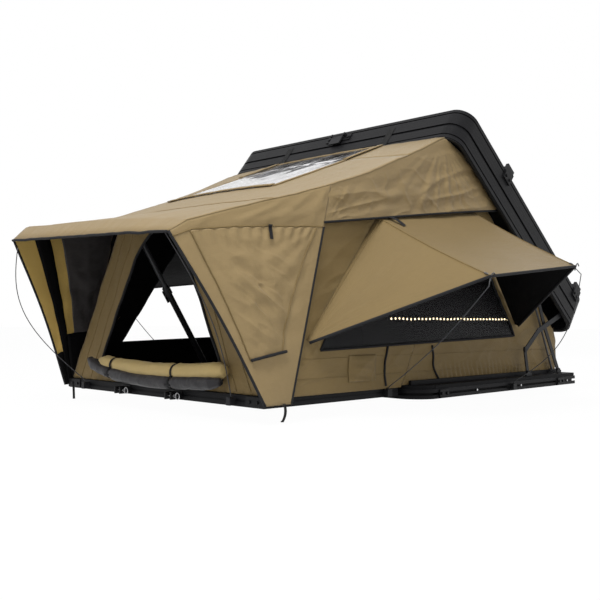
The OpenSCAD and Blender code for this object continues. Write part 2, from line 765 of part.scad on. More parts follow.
module ladder_pin_far() {
    color("#c2c4c6") ladder_pin(ladder_y[1]);
}

// Forks on the annex floor that carry the roof poles
module pole_feet() {
    color("#26272a") both_sides() {
        translate([foot_x - 24, pole_y - 22, deck_z]) cube([48, 44, 5]);
        for (y = [pole_y - 20, pole_y + 14]) y_plate(y, 6) {
            translate([foot_x - 12, deck_z]) square([24, fold_z - deck_z]);
            translate([foot_x, fold_z]) circle(12);
        }
        y_pin([foot_x, fold_z], pole_y - 20, 40, pin_r);
    }
}

module annex_wall() {
    y_plate(-wall_y - cloth_t, cloth_t) difference() {
        polygon([[fold_x - 3, deck_z - 7.5], [fold_x - 3, roof_z(fold_x - 3) - 5],
            [-1185, roof_z(-1185) - 5], [annex_out_x + 85, deck_z - 7.5]]);
        window_outline();
    }
}

module annex_wall_near() {
    color("#97906c") annex_wall();
}

module annex_wall_far() {
    color("#97906c") mirror([0, 1, 0]) annex_wall();
}

// The door opening, narrowing from its sill to a rounded top
module door_outline() {
    side = [[door_half, 40], [door_half, 80], [0.655 * door_half, door_h - 282], [0.375 * door_half, door_h - 87],
        [0.125 * door_half, door_h]];
    offset(60) offset(-60)
        polygon(concat(side, [for (k = [len(side) - 1:-1:0]) [-side[k][0], side[k][1]]]));
}

// Front wall with its door opening, leaning in to the spreader bar
module front_wall() {
    lean = atan2(spread_x - 20 - annex_out_x - 12, spread_z - deck_z);
    color("#97906c") translate([annex_out_x + 12, 0, deck_z + clear]) rotate([0, lean, 0]) rotate([90, 0, 90])
        linear_extrude(cloth_t) difference() {
            polygon([[5 - annex_half, 0], [annex_half - 5, 0],
                [annex_half - 335, door_h + 18], [335 - annex_half, door_h + 18]]);
            door_outline();
        }
}

module annex_roof() {
    color("#a39b76") sheet([for (s = [[awning_x, awning_half, awning_z],
        [awning_x + awning_strip, awning_half + 16, awning_z + awning_fold_h],
        [spread_x, roof_half - 54, roof_z(spread_x)],
        [seam_x, roof_half - 2, roof_z(seam_x)],
        [fold_x - 3, roof_half, roof_z(fold_x - 3)]]) roof_row(s[0], s[1], s[2] + 12)], [0, 0, cloth_t]);
}

// The fly's leg on the -Y side, from the annex corner up to the roof's edge
leg_foot = [[annex_out_x - 12, -wall_y - 14, 26], [annex_out_x + 112, -wall_y - 14, 26]];
leg_head = [[awning_x + 4, 6 - awning_half, awning_z - cloth_t - 0.2],
    [spread_x, 60 - roof_half, roof_z(spread_x) - cloth_t - 0.6],
    [seam_x - 4, -wall_y - 30, roof_z(seam_x - 4) - cloth_t - 0.6]];
function leg_top(u) = u < 0.6 ? lerp(leg_head[0], leg_head[1], u / 0.6)
    : lerp(leg_head[1], leg_head[2], (u - 0.6) / 0.4);

module fly_leg() {
    sheet([for (j = [0:6]) [for (i = [0:10])
        lerp(lerp(leg_foot[0], leg_foot[1], i / 10), leg_top(i / 10), j / 6)
            - [0, 6 * sin(18 * i) * sin(30 * j), 0]]], [0, -cloth_t, 0]);
}

module fly_leg_near() {
    color("#a39b76") fly_leg();
}

module fly_leg_far() {
    color("#a39b76") mirror([0, 1, 0]) fly_leg();
}

// The door canvas and mesh rolled up along the foot of the front wall
module door_roll() {
    color("#97906c") for (s = [[-430, 380, 34, 96, 21.4]])
        translate([annex_out_x - s[4], s[0], s[3]]) rotate([-90, 0, 0]) cylinder(h = s[1] - s[0], r = s[2]);
}

module awning_rods() {
    color("#6f7275") both_sides() spring_rod([annex_out_x - 14, 480, annex_z + 11.5],
        [awning_x + 8, awning_half - 30, awning_z - 4.8], [-90, 60, 0]);
}

module on_pole() {
    both_sides() translate([foot_x, pole_y, fold_z]) rotate([0, 90 - pole_angle, 0]) children();
}

module pole_tubes_lower() {
    color("#3d3f42") on_pole() difference() {
        union() {
            translate([0, 0, 8]) cylinder(h = pole_low_len - 8, r = pole_d / 2);
            translate([0, -13.5, 0]) rotate([-90, 0, 0]) cylinder(h = 27, r = 11);
            translate([0, 0, pole_low_len - 30]) cylinder(h = 34, r = pole_d / 2 + 4);
            translate([-6, pole_d / 2, pole_low_len - 18]) cube([12, 8, 8]);
            translate([-6, pole_d / 2 + 8, pole_low_len - 14]) rotate([0, 90, 0]) cylinder(h = 12, r = 4.4);
        }
        translate([0, -15, 0]) rotate([-90, 0, 0]) cylinder(h = 30, r = pin_r + fit);
        translate([0, 0, 24]) cylinder(h = pole_low_len, r = pole_d / 2 - 1.7);
        translate([-10, pole_d / 2 + 8, pole_low_len - 14]) rotate([0, 90, 0]) cylinder(h = 20, r = 2 + fit);
    }
}

module pole_tubes_upper() {
    color("#b4b6b8") on_pole() difference() {
        translate([0, 0, pole_len - 380]) cylinder(h = 369, r = pole_d / 2 - 1.8);
        translate([0, 0, pole_len - 381]) cylinder(h = 350, r = pole_d / 2 - 3.4);
    }
}

module spreader_bar() {
    color("#3d3f42") translate([spread_x, -450, spread_z]) rotate([-90, 0, 0]) cylinder(h = 900, r = 11);
}

// A flip lever that grips the telescoping tube, drawn on the +Y side of its pole
module flip_lever() {
    translate([0, pole_d / 2 + 8, pole_low_len - 14]) {
        translate([-8.5, 0, 0]) rotate([0, 90, 0]) cylinder(h = 17, r = 2);
        for (x = [-9, 6.5]) translate([x, -3, -50]) cube([2.5, 8.5, 52.8]);
        translate([-9, 5, -56]) cube([18, 3, 57]);
    }
}

module on_pole_side(side) {
    mirror([0, side, 0]) translate([foot_x, pole_y, fold_z]) rotate([0, 90 - pole_angle, 0]) children();
}

module pole_lever_near() {
    color("#1a1a1b") on_pole_side(1) flip_lever();
}

module pole_lever_far() {
    color("#1a1a1b") on_pole_side(0) flip_lever();
}

base_perimeter_rail();
rear_cross_rail();
base_floor_panel();
base_rim();
main_mattress();
base_hinge_plates();
linkage_brackets();
mounting_clamps();
rail_fasteners();
rod_sockets();
window_rods_front();
window_rods_rear();
main_wall_near();
main_wall_far();
rear_wall();
main_roof();
fly_valances();
window_awning_near();
window_awning_far();
window_mesh();
skylight_pane();
led_strip();
lid_skin();
lid_frame();
lid_seal();
lid_crossbars();
crossbar_brackets();
lid_pivot_brackets();
lid_latch_plate();
lid_latch_lever();
lid_straps();
post_links();
lid_arms();
slide_arms();
strut_rods();
strut_tubes();
annex_frame();
annex_floor_panel();
annex_mattress();
annex_hinge_plates();
corner_brackets();
ladder_brackets();
ladder_pin_near();
ladder_pin_far();
pole_feet();
annex_wall_near();
annex_wall_far();
front_wall();
annex_roof();
fly_leg_near();
fly_leg_far();
door_roll();
awning_rods();
pole_tubes_lower();
pole_tubes_upper();
spreader_bar();
pole_lever_near();
pole_lever_far();
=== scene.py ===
"""Looks of an open hard shell roof top tent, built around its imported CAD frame."""

import logging
import math
from dataclasses import dataclass, field
from enum import Enum
from typing import Callable, Sequence

import bmesh
import bpy
from mathutils import Matrix, Vector, noise

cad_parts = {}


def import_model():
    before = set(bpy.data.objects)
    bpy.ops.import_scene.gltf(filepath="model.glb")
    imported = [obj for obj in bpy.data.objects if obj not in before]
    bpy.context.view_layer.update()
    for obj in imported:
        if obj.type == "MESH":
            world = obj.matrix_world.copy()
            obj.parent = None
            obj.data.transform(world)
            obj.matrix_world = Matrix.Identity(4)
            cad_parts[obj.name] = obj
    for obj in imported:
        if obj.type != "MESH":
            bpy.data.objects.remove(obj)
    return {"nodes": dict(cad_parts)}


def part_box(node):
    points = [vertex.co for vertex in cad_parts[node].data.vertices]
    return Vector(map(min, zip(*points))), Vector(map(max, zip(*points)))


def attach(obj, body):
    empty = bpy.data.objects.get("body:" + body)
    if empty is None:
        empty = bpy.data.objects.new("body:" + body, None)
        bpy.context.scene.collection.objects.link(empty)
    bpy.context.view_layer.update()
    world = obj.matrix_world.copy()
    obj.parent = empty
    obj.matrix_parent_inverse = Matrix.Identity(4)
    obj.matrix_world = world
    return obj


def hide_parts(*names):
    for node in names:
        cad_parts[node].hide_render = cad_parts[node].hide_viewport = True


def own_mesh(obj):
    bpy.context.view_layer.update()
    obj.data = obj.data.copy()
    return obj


LOG = logging.getLogger("tent")
Point2 = tuple[float, float]
Surface = Callable[[float, float], Vector]

# Places shared by the canvas pieces, in metres in the CAD frame.
FOLD_X = -0.675
DECK_Z = 0.055
WALL_Y = 0.640
ROOF_REAR_X, ROOF_REAR_Z = -0.418, 1.098
SPREAD_X, SPREAD_Z = -1.3703, 0.739
AWNING_X, AWNING_Z, AWNING_HALF = -1.750, 0.612, 0.530
SEAM_X = -1.120
CLOTH = 0.0014
WEAVE_UV = "cloth_metres"


class Side(Enum):
    """The two sides of the tent: the photographed one and the one behind it."""

    NEAR = -1.0
    FAR = 1.0

    @property
    def word(self) -> str:
        """Name of the side, as used in piece names."""
        return self.name.lower()


class Fold(Enum):
    """How a soft piece packs away: its body, the joint that flattens it, and what is left of it."""

    MAIN = ("base", "lid_tilt", 0.055, 0.055)
    ANNEX = ("annex", "annex_fold", 0.060, 0.055)

    @property
    def body(self) -> str:
        """CAD body that carries the piece."""
        return self.value[0]


class Val:
    """A shader socket that takes part in Python arithmetic."""

    def __init__(self, maker: "NodeMaker", socket: bpy.types.NodeSocket) -> None:
        """Wraps one output socket of a material under construction."""
        self.maker = maker
        self.socket = socket

    def _math(self, operation: str, *values: "Val | float") -> "Val":
        """Adds one Math node over the values."""
        return self.maker.add("ShaderNodeMath", {"operation": operation}, dict(enumerate(values)))

    def __add__(self, other: "Val | float") -> "Val":
        """Sum."""
        return self._math("ADD", self, other)

    __radd__ = __add__

    def __sub__(self, other: "Val | float") -> "Val":
        """Difference."""
        return self._math("SUBTRACT", self, other)

    def __rsub__(self, other: float) -> "Val":
        """Difference from a number."""
        return self._math("SUBTRACT", other, self)

    def __mul__(self, other: "Val | float") -> "Val":
        """Product."""
        return self._math("MULTIPLY", self, other)

    __rmul__ = __mul__

    def __truediv__(self, other: "Val | float") -> "Val":
        """Quotient."""
        return self._math("DIVIDE", self, other)

    def sin(self) -> "Val":
        """Sine of the value."""
        return self._math("SINE", self)

    def absolute(self) -> "Val":
        """Value without its sign."""
        return self._math("ABSOLUTE", self)

    def power(self, exponent: float) -> "Val":
        """Value raised to a power."""
        return self._math("POWER", self, exponent)

    def above(self, limit: "Val | float") -> "Val":
        """1 where the value is over the limit, and 0 elsewhere."""
        return self._math("GREATER_THAN", self, limit)

    def top(self, other: "Val | float") -> "Val":
        """The larger of two values."""
        return self._math("MAXIMUM", self, other)

    def clamped(self) -> "Val":
        """Value held between 0 and 1."""
        return self.maker.add("ShaderNodeClamp", {}, {"Value": self})


class NodeMaker:
    """Builds one material's node tree."""

    def __init__(self, name: str) -> None:
        """Starts an empty material of that name."""
        self.material = bpy.data.materials.new(name)
        self.material.use_nodes = True
        self.tree = self.material.node_tree
        self.tree.nodes.clear()

    @classmethod
    def of_tree(cls, tree: bpy.types.NodeTree) -> "NodeMaker":
        """A maker for a tree that is there already, such as a world's, emptied first."""
        maker = cls.__new__(cls)
        maker.material = None
        maker.tree = tree
        tree.nodes.clear()
        return maker

    def add(self, kind: str, settings: dict, inputs: dict, output: int | str = 0) -> Val | None:
        """Adds any node.

        Args:
            kind: The node's type name.
            settings: Attributes to set first; "stops" fills a colour ramp.
            inputs: Socket name or index to a number, a colour or a Val.
            output: The output socket to hand back.

        Returns:
            The chosen output, wrapped for arithmetic, or nothing for a node that ends the tree.
        """
        node = self.tree.nodes.new(kind)
        for key, value in settings.items():
            if key == "stops":
                ramp = node.color_ramp
                while len(ramp.elements) < len(value):
                    ramp.elements.new(0.5)
                for element, (place, colour) in zip(ramp.elements, value):
                    element.position = place
                    element.color = (*colour, 1.0)
            else:
                setattr(node, key, value)
        for key, value in inputs.items():
            if isinstance(value, Val):
                self.tree.links.new(value.socket, node.inputs[key])
            else:
                node.inputs[key].default_value = value
        return Val(self, node.outputs[output]) if node.outputs else None

    def coords(self, uv: bool = False) -> Val:
        """Cloth coordinates in metres, or the object's own coordinates."""
        if uv:
            return self.add("ShaderNodeUVMap", {"uv_map": WEAVE_UV}, {})
        return self.add("ShaderNodeTexCoord", {}, {}, "Object")

    def noise(self, coords: Val, scale: float, detail: float = 4.0, rough: float = 0.55) -> Val:
        """Fractal noise from 0 to 1."""
        return self.add("ShaderNodeTexNoise", {}, {"Vector": coords, "Scale": scale, "Detail": detail,
                                                   "Roughness": rough})

    def stretch(self, coords: Val, scale: Sequence[float]) -> Val:
        """Coordinates multiplied axis by axis."""
        return self.add("ShaderNodeVectorMath", {"operation": "MULTIPLY"}, {0: coords, 1: tuple(scale)})

    def axes(self, coords: Val) -> tuple[Val, Val, Val]:
        """The three parts of a vector."""
        node = self.add("ShaderNodeSeparateXYZ", {}, {"Vector": coords}).socket.node
        return tuple(Val(self, out) for out in node.outputs)

    def blend(self, factor: Val, low: Sequence[float], high: Sequence[float]) -> Val:
        """Colour between two colours."""
        sockets = {0: factor, 6: (*low, 1.0), 7: (*high, 1.0)}
        return self.add("ShaderNodeMix", {"data_type": "RGBA"}, sockets, 2)

    def bump(self, height: Val, distance: float, strength: float = 1.0) -> Val:
        """Normal bent by a height."""
        return self.add("ShaderNodeBump", {}, {"Height": height, "Distance": distance, "Strength": strength})

    def finish(self, shader_inputs: dict) -> bpy.types.Material:
        """Ends the tree in a Principled shader with those inputs."""
        shader = self.add("ShaderNodeBsdfPrincipled", {}, shader_inputs)
        self.add("ShaderNodeOutputMaterial", {}, {"Surface": shader})
        return self.material


@dataclass(frozen=True)
class CanvasFinish:
    """Coated ripstop canvas: a fine square weave, soft mottling and faint creases."""

    name: str
    light: tuple[float, float, float]
    dark: tuple[float, float, float]
    rough: float = 0.62
    sheen: float = 0.06
    thread: float = 0.0022
    gloss: float = 0.22

    def build(self) -> bpy.types.Material:
        """Makes the material."""
        m = NodeMaker(self.name)
        uv = m.coords(uv=True)
        u, v, _ = m.axes(uv)
        turn = 2 * math.pi / self.thread
        weave = (u * turn).sin() * (v * turn).sin()
        rip_u = (u * (math.pi / 0.006)).sin().absolute().power(24.0)
        rip_v = (v * (math.pi / 0.006)).sin().absolute().power(24.0)
        grid = rip_u.top(rip_v)
        mottle = m.noise(uv, 3.5, 5.0, 0.6)
        fine = m.noise(uv, 60.0, 3.0, 0.6)
        crease = m.noise(m.stretch(uv, (5.0, 14.0, 1.0)), 1.6, 3.0, 0.5)
        tone = (mottle * 0.55 + fine * 0.25 + grid * 0.12 + weave * 0.05).clamped()
        height = weave * 0.00012 + grid * 0.00018 + crease * 0.006 + fine * 0.0004
        return m.finish({
            "Base Color": m.blend(tone, self.dark, self.light),
            "Roughness": (mottle * 0.16 + (self.rough - 0.08)).clamped(),
            "Normal": m.bump(height, 1.0, 0.55),
            "Sheen Weight": self.sheen,
            "Sheen Roughness": 0.5,
            "Specular IOR Level": self.gloss,
        })


@dataclass(frozen=True)
class MetalFinish:
    """Metal with a fine grain, cloudy gloss and paint thinned along its edges."""

    name: str
    colour: tuple[float, float, float]
    worn: tuple[float, float, float]
    metallic: float
    rough: float
    grain: float = 900.0
    coat: float = 0.0
    gloss: float = 0.25
    groove_axis: tuple[float, float, float] | None = None
    groove_pitch: float = 0.0165

    def build(self) -> bpy.types.Material:
        """Makes the material."""
        m = NodeMaker(self.name)
        here = m.coords()
        cloud = m.noise(here, 9.0, 4.0, 0.6)
        grain = m.noise(here, self.grain, 2.0, 0.5)
        edge = m.add("ShaderNodeNewGeometry", {}, {}, "Pointiness")
        wear = ((edge - 0.53) * 9.0 * cloud).clamped()
        height = grain * 0.00006 + cloud * 0.0002
        if self.groove_axis:
            turn = 2 * math.pi / self.groove_pitch
            along = m.add("ShaderNodeVectorMath", {"operation": "DOT_PRODUCT"},
                          {0: here, 1: self.groove_axis}, 1)
            height = height - (along * turn).sin().above(0.72) * 0.0016
        return m.finish({
            "Base Color": m.blend((cloud * 0.3 + wear).clamped(), self.colour, self.worn),
            "Metallic": self.metallic,
            "Roughness": (cloud * 0.22 + grain * 0.1 + (self.rough - 0.16)).clamped(),
            "Normal": m.bump(height, 1.0, 0.5),
            "Coat Weight": self.coat,
            "Coat Roughness": 0.25,
            "Specular IOR Level": self.gloss,
        })


@dataclass(frozen=True)
class SoftFinish:
    """Matt black webbing, binding, rubber or plastic with a ribbed or pebbled face."""

    name: str
    colour: tuple[float, float, float]
    rough: float
    rib: float
    depth: float

    def build(self) -> bpy.types.Material:
        """Makes the material."""
        m = NodeMaker(self.name)
        here = m.coords()
        x, y, z = m.axes(here)
        ribs = ((x + y * 0.7 + z * 1.1) * (2 * math.pi / self.rib)).sin()
        pebble = m.noise(here, 400.0, 3.0, 0.6)
        tone = (pebble * 0.6 + ribs * 0.1).clamped()
        lift = tuple(c * 1.9 + 0.004 for c in self.colour)
        return m.finish({
            "Base Color": m.blend(tone, self.colour, lift),
            "Roughness": (pebble * 0.2 + (self.rough - 0.1)).clamped(),
            "Normal": m.bump(ribs * self.depth + pebble * self.depth, 1.0, 0.6),
            "Specular IOR Level": 0.2,
        })


@dataclass(frozen=True)
class MeshFinish:
    """Insect mesh: dark threads with open squares between them."""

    name: str
    colour: tuple[float, float, float]
    pitch: float = 0.0026
    open_share: float = 0.35

    def build(self) -> bpy.types.Material:
        """Makes the material."""
        m = NodeMaker(self.name)
        u, v, _ = m.axes(m.coords(uv=True))
        turn = math.pi / self.pitch
        thread = (u * turn).sin().absolute().top((v * turn).sin().absolute())
        cloud = m.noise(m.coords(uv=True), 5.0)
        solid = thread.above(self.open_share)
        shine = m.blend(cloud, self.colour, tuple(c * 2.2 for c in self.colour))
        return m.finish({
            "Base Color": shine,
            "Roughness": (cloud * 0.2 + 0.6).clamped(),
            "Alpha": (solid * 0.14 + 0.64).clamped(),
            "Normal": m.bump(thread * 0.0003, 1.0, 0.5),
        })


@dataclass(frozen=True)
class FilmFinish:
    """Clear window film with slow waves that break up its reflections; its near-white base colour is a
    painted reflection, streaked with painted shade where the dark inside would show through.
    """

    name: str
    tint: tuple[float, float, float]

    def build(self) -> bpy.types.Material:
        """Makes the material."""
        m = NodeMaker(self.name)
        uv = m.coords(uv=True)
        wave = m.noise(m.stretch(uv, (2.0, 5.0, 1.0)), 2.6, 3.0, 0.5)
        smear = m.noise(uv, 7.0, 5.0, 0.7)
        x, _, _ = m.axes(uv)
        crease = m.noise(m.stretch(uv, (1.6, 6.0, 1.0)), 3.0, 6.0, 0.62)
        # Painted shade: dark streaks, more of them towards the rear, for the dark inside seen through the
        # film.
        painted_see_through_shade = ((crease - 0.56 + (x + 1.0) * 0.30) * 9.0).clamped()
        return m.finish({
            "Base Color": m.blend(painted_see_through_shade, self.tint, (0.02, 0.02, 0.022)),
            "Roughness": (smear * 0.12 + 0.03).clamped(),
            "Alpha": (smear * 0.3 + 0.5).clamped(),
            "Normal": m.bump(wave * 0.02, 1.0, 0.7),
            "Specular IOR Level": 0.8,
            "Coat Weight": 1.0,
            "Coat Roughness": 0.04,
        })


@dataclass(frozen=True)
class GlowFinish:
    """Lit diffuser of the light strip."""

    name: str
    colour: tuple[float, float, float]
    power: float

    def build(self) -> bpy.types.Material:
        """Makes the material."""
        m = NodeMaker(self.name)
        cloud = m.noise(m.coords(), 120.0)
        return m.finish({
            "Base Color": m.blend(cloud, self.colour, (0.95, 0.9, 0.8)),
            "Roughness": (cloud * 0.2 + 0.3).clamped(),
            "Emission Color": m.blend(cloud, self.colour, (1.0, 0.86, 0.6)),
            "Emission Strength": self.power,
        })


class Finish(Enum):
    """Every finish on the tent."""

    CANVAS = CanvasFinish("wall_canvas", (0.205, 0.143, 0.058), (0.136, 0.093, 0.035))
    FLY = CanvasFinish("fly_canvas", (0.268, 0.192, 0.092), (0.182, 0.130, 0.058), 0.52, 0.08)
    LINING = CanvasFinish("awning_lining", (0.0075, 0.0072, 0.0078), (0.004, 0.004, 0.0042), 0.75, 0.0,
                          gloss=0.05)
    # Painted light: the fly legs' inner face is coloured far brighter than the canvas, standing in for light
    # shining through the cloth.
    GLOWING = CanvasFinish("sunlit_lining", (0.72, 0.50, 0.155), (0.52, 0.35, 0.095), 0.7, 0.05)
    # Painted light: the rolled door canvas is a brighter copy of the wall canvas, for the key light falling
    # on it.
    ROLL = CanvasFinish("rolled_canvas", (0.42, 0.315, 0.135), (0.30, 0.222, 0.090), 0.6, 0.06)
    NET_ROLL = CanvasFinish("rolled_mesh", (0.021, 0.019, 0.022), (0.009, 0.0085, 0.0095), 0.42, 0.05)
    NET_PANEL = CanvasFinish("closed_mesh", (0.085, 0.077, 0.076), (0.045, 0.041, 0.040), 0.45, 0.05)
    BED = CanvasFinish("mattress_cover", (0.050, 0.054, 0.066), (0.026, 0.028, 0.034), 0.85, 0.05, 0.003)
    MESH = MeshFinish("insect_mesh", (0.008, 0.008, 0.009))
    # Near-white base colour: a painted reflection of the white surround.
    FILM = FilmFinish("skylight_film", (0.88, 0.87, 0.89))
    GLOW = GlowFinish("strip_light", (1.0, 0.74, 0.36), 60.0)
    BINDING = SoftFinish("black_binding", (0.008, 0.008, 0.009), 0.75, 0.004, 0.0003)
    WEBBING = SoftFinish("black_webbing", (0.008, 0.008, 0.008), 0.8, 0.003, 0.0005)
    RUBBER = SoftFinish("black_rubber", (0.008, 0.008, 0.008), 0.7, 0.02, 0.0002)
    PLASTIC = SoftFinish("black_plastic", (0.008, 0.008, 0.009), 0.5, 0.05, 0.0001)
    LID_RAIL = MetalFinish("lid_extrusion", (0.004, 0.004, 0.0046), (0.013, 0.013, 0.0145), 0.0, 0.42, 700.0,
                           0.0, 0.11, (0.6157, 0, 0.788))
    FRAME = MetalFinish("black_extrusion", (0.004, 0.004, 0.0046), (0.011, 0.011, 0.0125), 0.0, 0.46, 700.0,
                        0.0, 0.09, (0, 0, 1))
    PANEL = MetalFinish("textured_panel", (0.005, 0.005, 0.0055), (0.012, 0.012, 0.013), 0.0, 0.66, 260.0,
                        0.0, 0.07)
    BRACKET = MetalFinish("black_bracket", (0.004, 0.004, 0.0045), (0.018, 0.018, 0.020), 0.0, 0.42, 900.0,
                          0.0, 0.14)
    STRUT = MetalFinish("strut_enamel", (0.005, 0.005, 0.006), (0.02, 0.02, 0.02), 0.0, 0.28, 500.0, 0.1, 0.3)
    STEEL = MetalFinish("bright_steel", (0.42, 0.42, 0.43), (0.62, 0.62, 0.63), 1.0, 0.32, 1500.0)
    SPRING = MetalFinish("sprung_wire", (0.030, 0.030, 0.033), (0.10, 0.10, 0.105), 0.4, 0.38, 1500.0)
    POLE_GREY = MetalFinish("dark_anodised", (0.010, 0.010, 0.011), (0.05, 0.05, 0.055), 0.2, 0.40)
    POLE_BRIGHT = MetalFinish("slim_anodised", (0.014, 0.014, 0.016), (0.07, 0.07, 0.075), 0.3, 0.36)

    @property
    def material(self) -> bpy.types.Material:
        """The finish's material, made on first use."""
        return bpy.data.materials.get(self.value.name) or self.value.build()


def lerp(a: float | Vector, b: float | Vector, share: float) -> float | Vector:
    """Number or point that share of the way from a to b."""
    return a + (b - a) * share


def roof_z(x: float) -> float:
    """Height of the fly's edge at x."""
    return lerp(SPREAD_Z, ROOF_REAR_Z, (x - SPREAD_X) / (ROOF_REAR_X - SPREAD_X))


def ruffle(point: Vector, pitch: Sequence[float], depth: float) -> float:
    """Height of soft wrinkles at a point, for a pitch in metres along each axis."""
    return depth * noise.noise(Vector((point.x / pitch[0], point.y / pitch[1], point.z / pitch[2])))


def fan(point: Vector, hub: Vector, spokes: float, reach: float, depth: float) -> float:
    """Height of the creases that spread out from a hub where cloth is pulled, fading over a reach."""
    away = point - hub
    turn = math.atan2(away.z, away.x)
    length = away.length
    swell = depth * min(1.0, length / 0.15) * math.exp(-length / reach)
    return swell * noise.noise(Vector((turn * spokes, hub.x * 7, hub.z * 3)))


def crease(point: Vector, pitch: Sequence[float], depth: float) -> float:
    """Height of sharp folds at a point: narrow ridges along the lines where soft noise changes sign."""
    level = noise.noise(Vector((point.x / pitch[0], point.y / pitch[1], point.z / pitch[2])))
    return depth * max(0.0, 1 - abs(level) * 3.2) ** 2


def walk(corners: Sequence[Vector], step: float, closed: bool = False) -> list[Vector]:
    """Points about a step apart along a line of corners, with every corner kept.

    Args:
        corners: The corners in order.
        step: Spacing in metres.
        closed: Whether the line returns to its first corner.

    Returns:
        The points; a closed line doesn't repeat its first one.
    """
    ends = list(corners[1:]) + ([corners[0]] if closed else [])
    points = []
    for a, b in zip(corners, ends):
        count = max(1, round((b - a).length / step))
        points += [lerp(a, b, i / count) for i in range(count)]
    return points if closed else points + [corners[-1].copy()]


def rounded(corners: Sequence[Vector], radius: float, steps: int = 5) -> list[Vector]:
    """Open line of corners with each inner corner turned into a curve."""
    line = [corners[0]]
    for before, corner, after in zip(corners, corners[1:], corners[2:]):
        reach = min(radius, (before - corner).length * 0.45, (after - corner).length * 0.45)
        a = corner + (before - corner).normalized() * reach
        b = corner + (after - corner).normalized() * reach
        for i in range(steps + 1):
            t = i / steps
            line.append(lerp(lerp(a, corner, t), lerp(corner, b, t), t))
    return line + [corners[-1]]


def patch(corners: Sequence[Vector], u: float, v: float) -> Vector:
    """Point of a four-cornered panel, whose corners go round from the lower left."""
    return lerp(lerp(corners[0], corners[1], u), lerp(corners[3], corners[2], u), v)


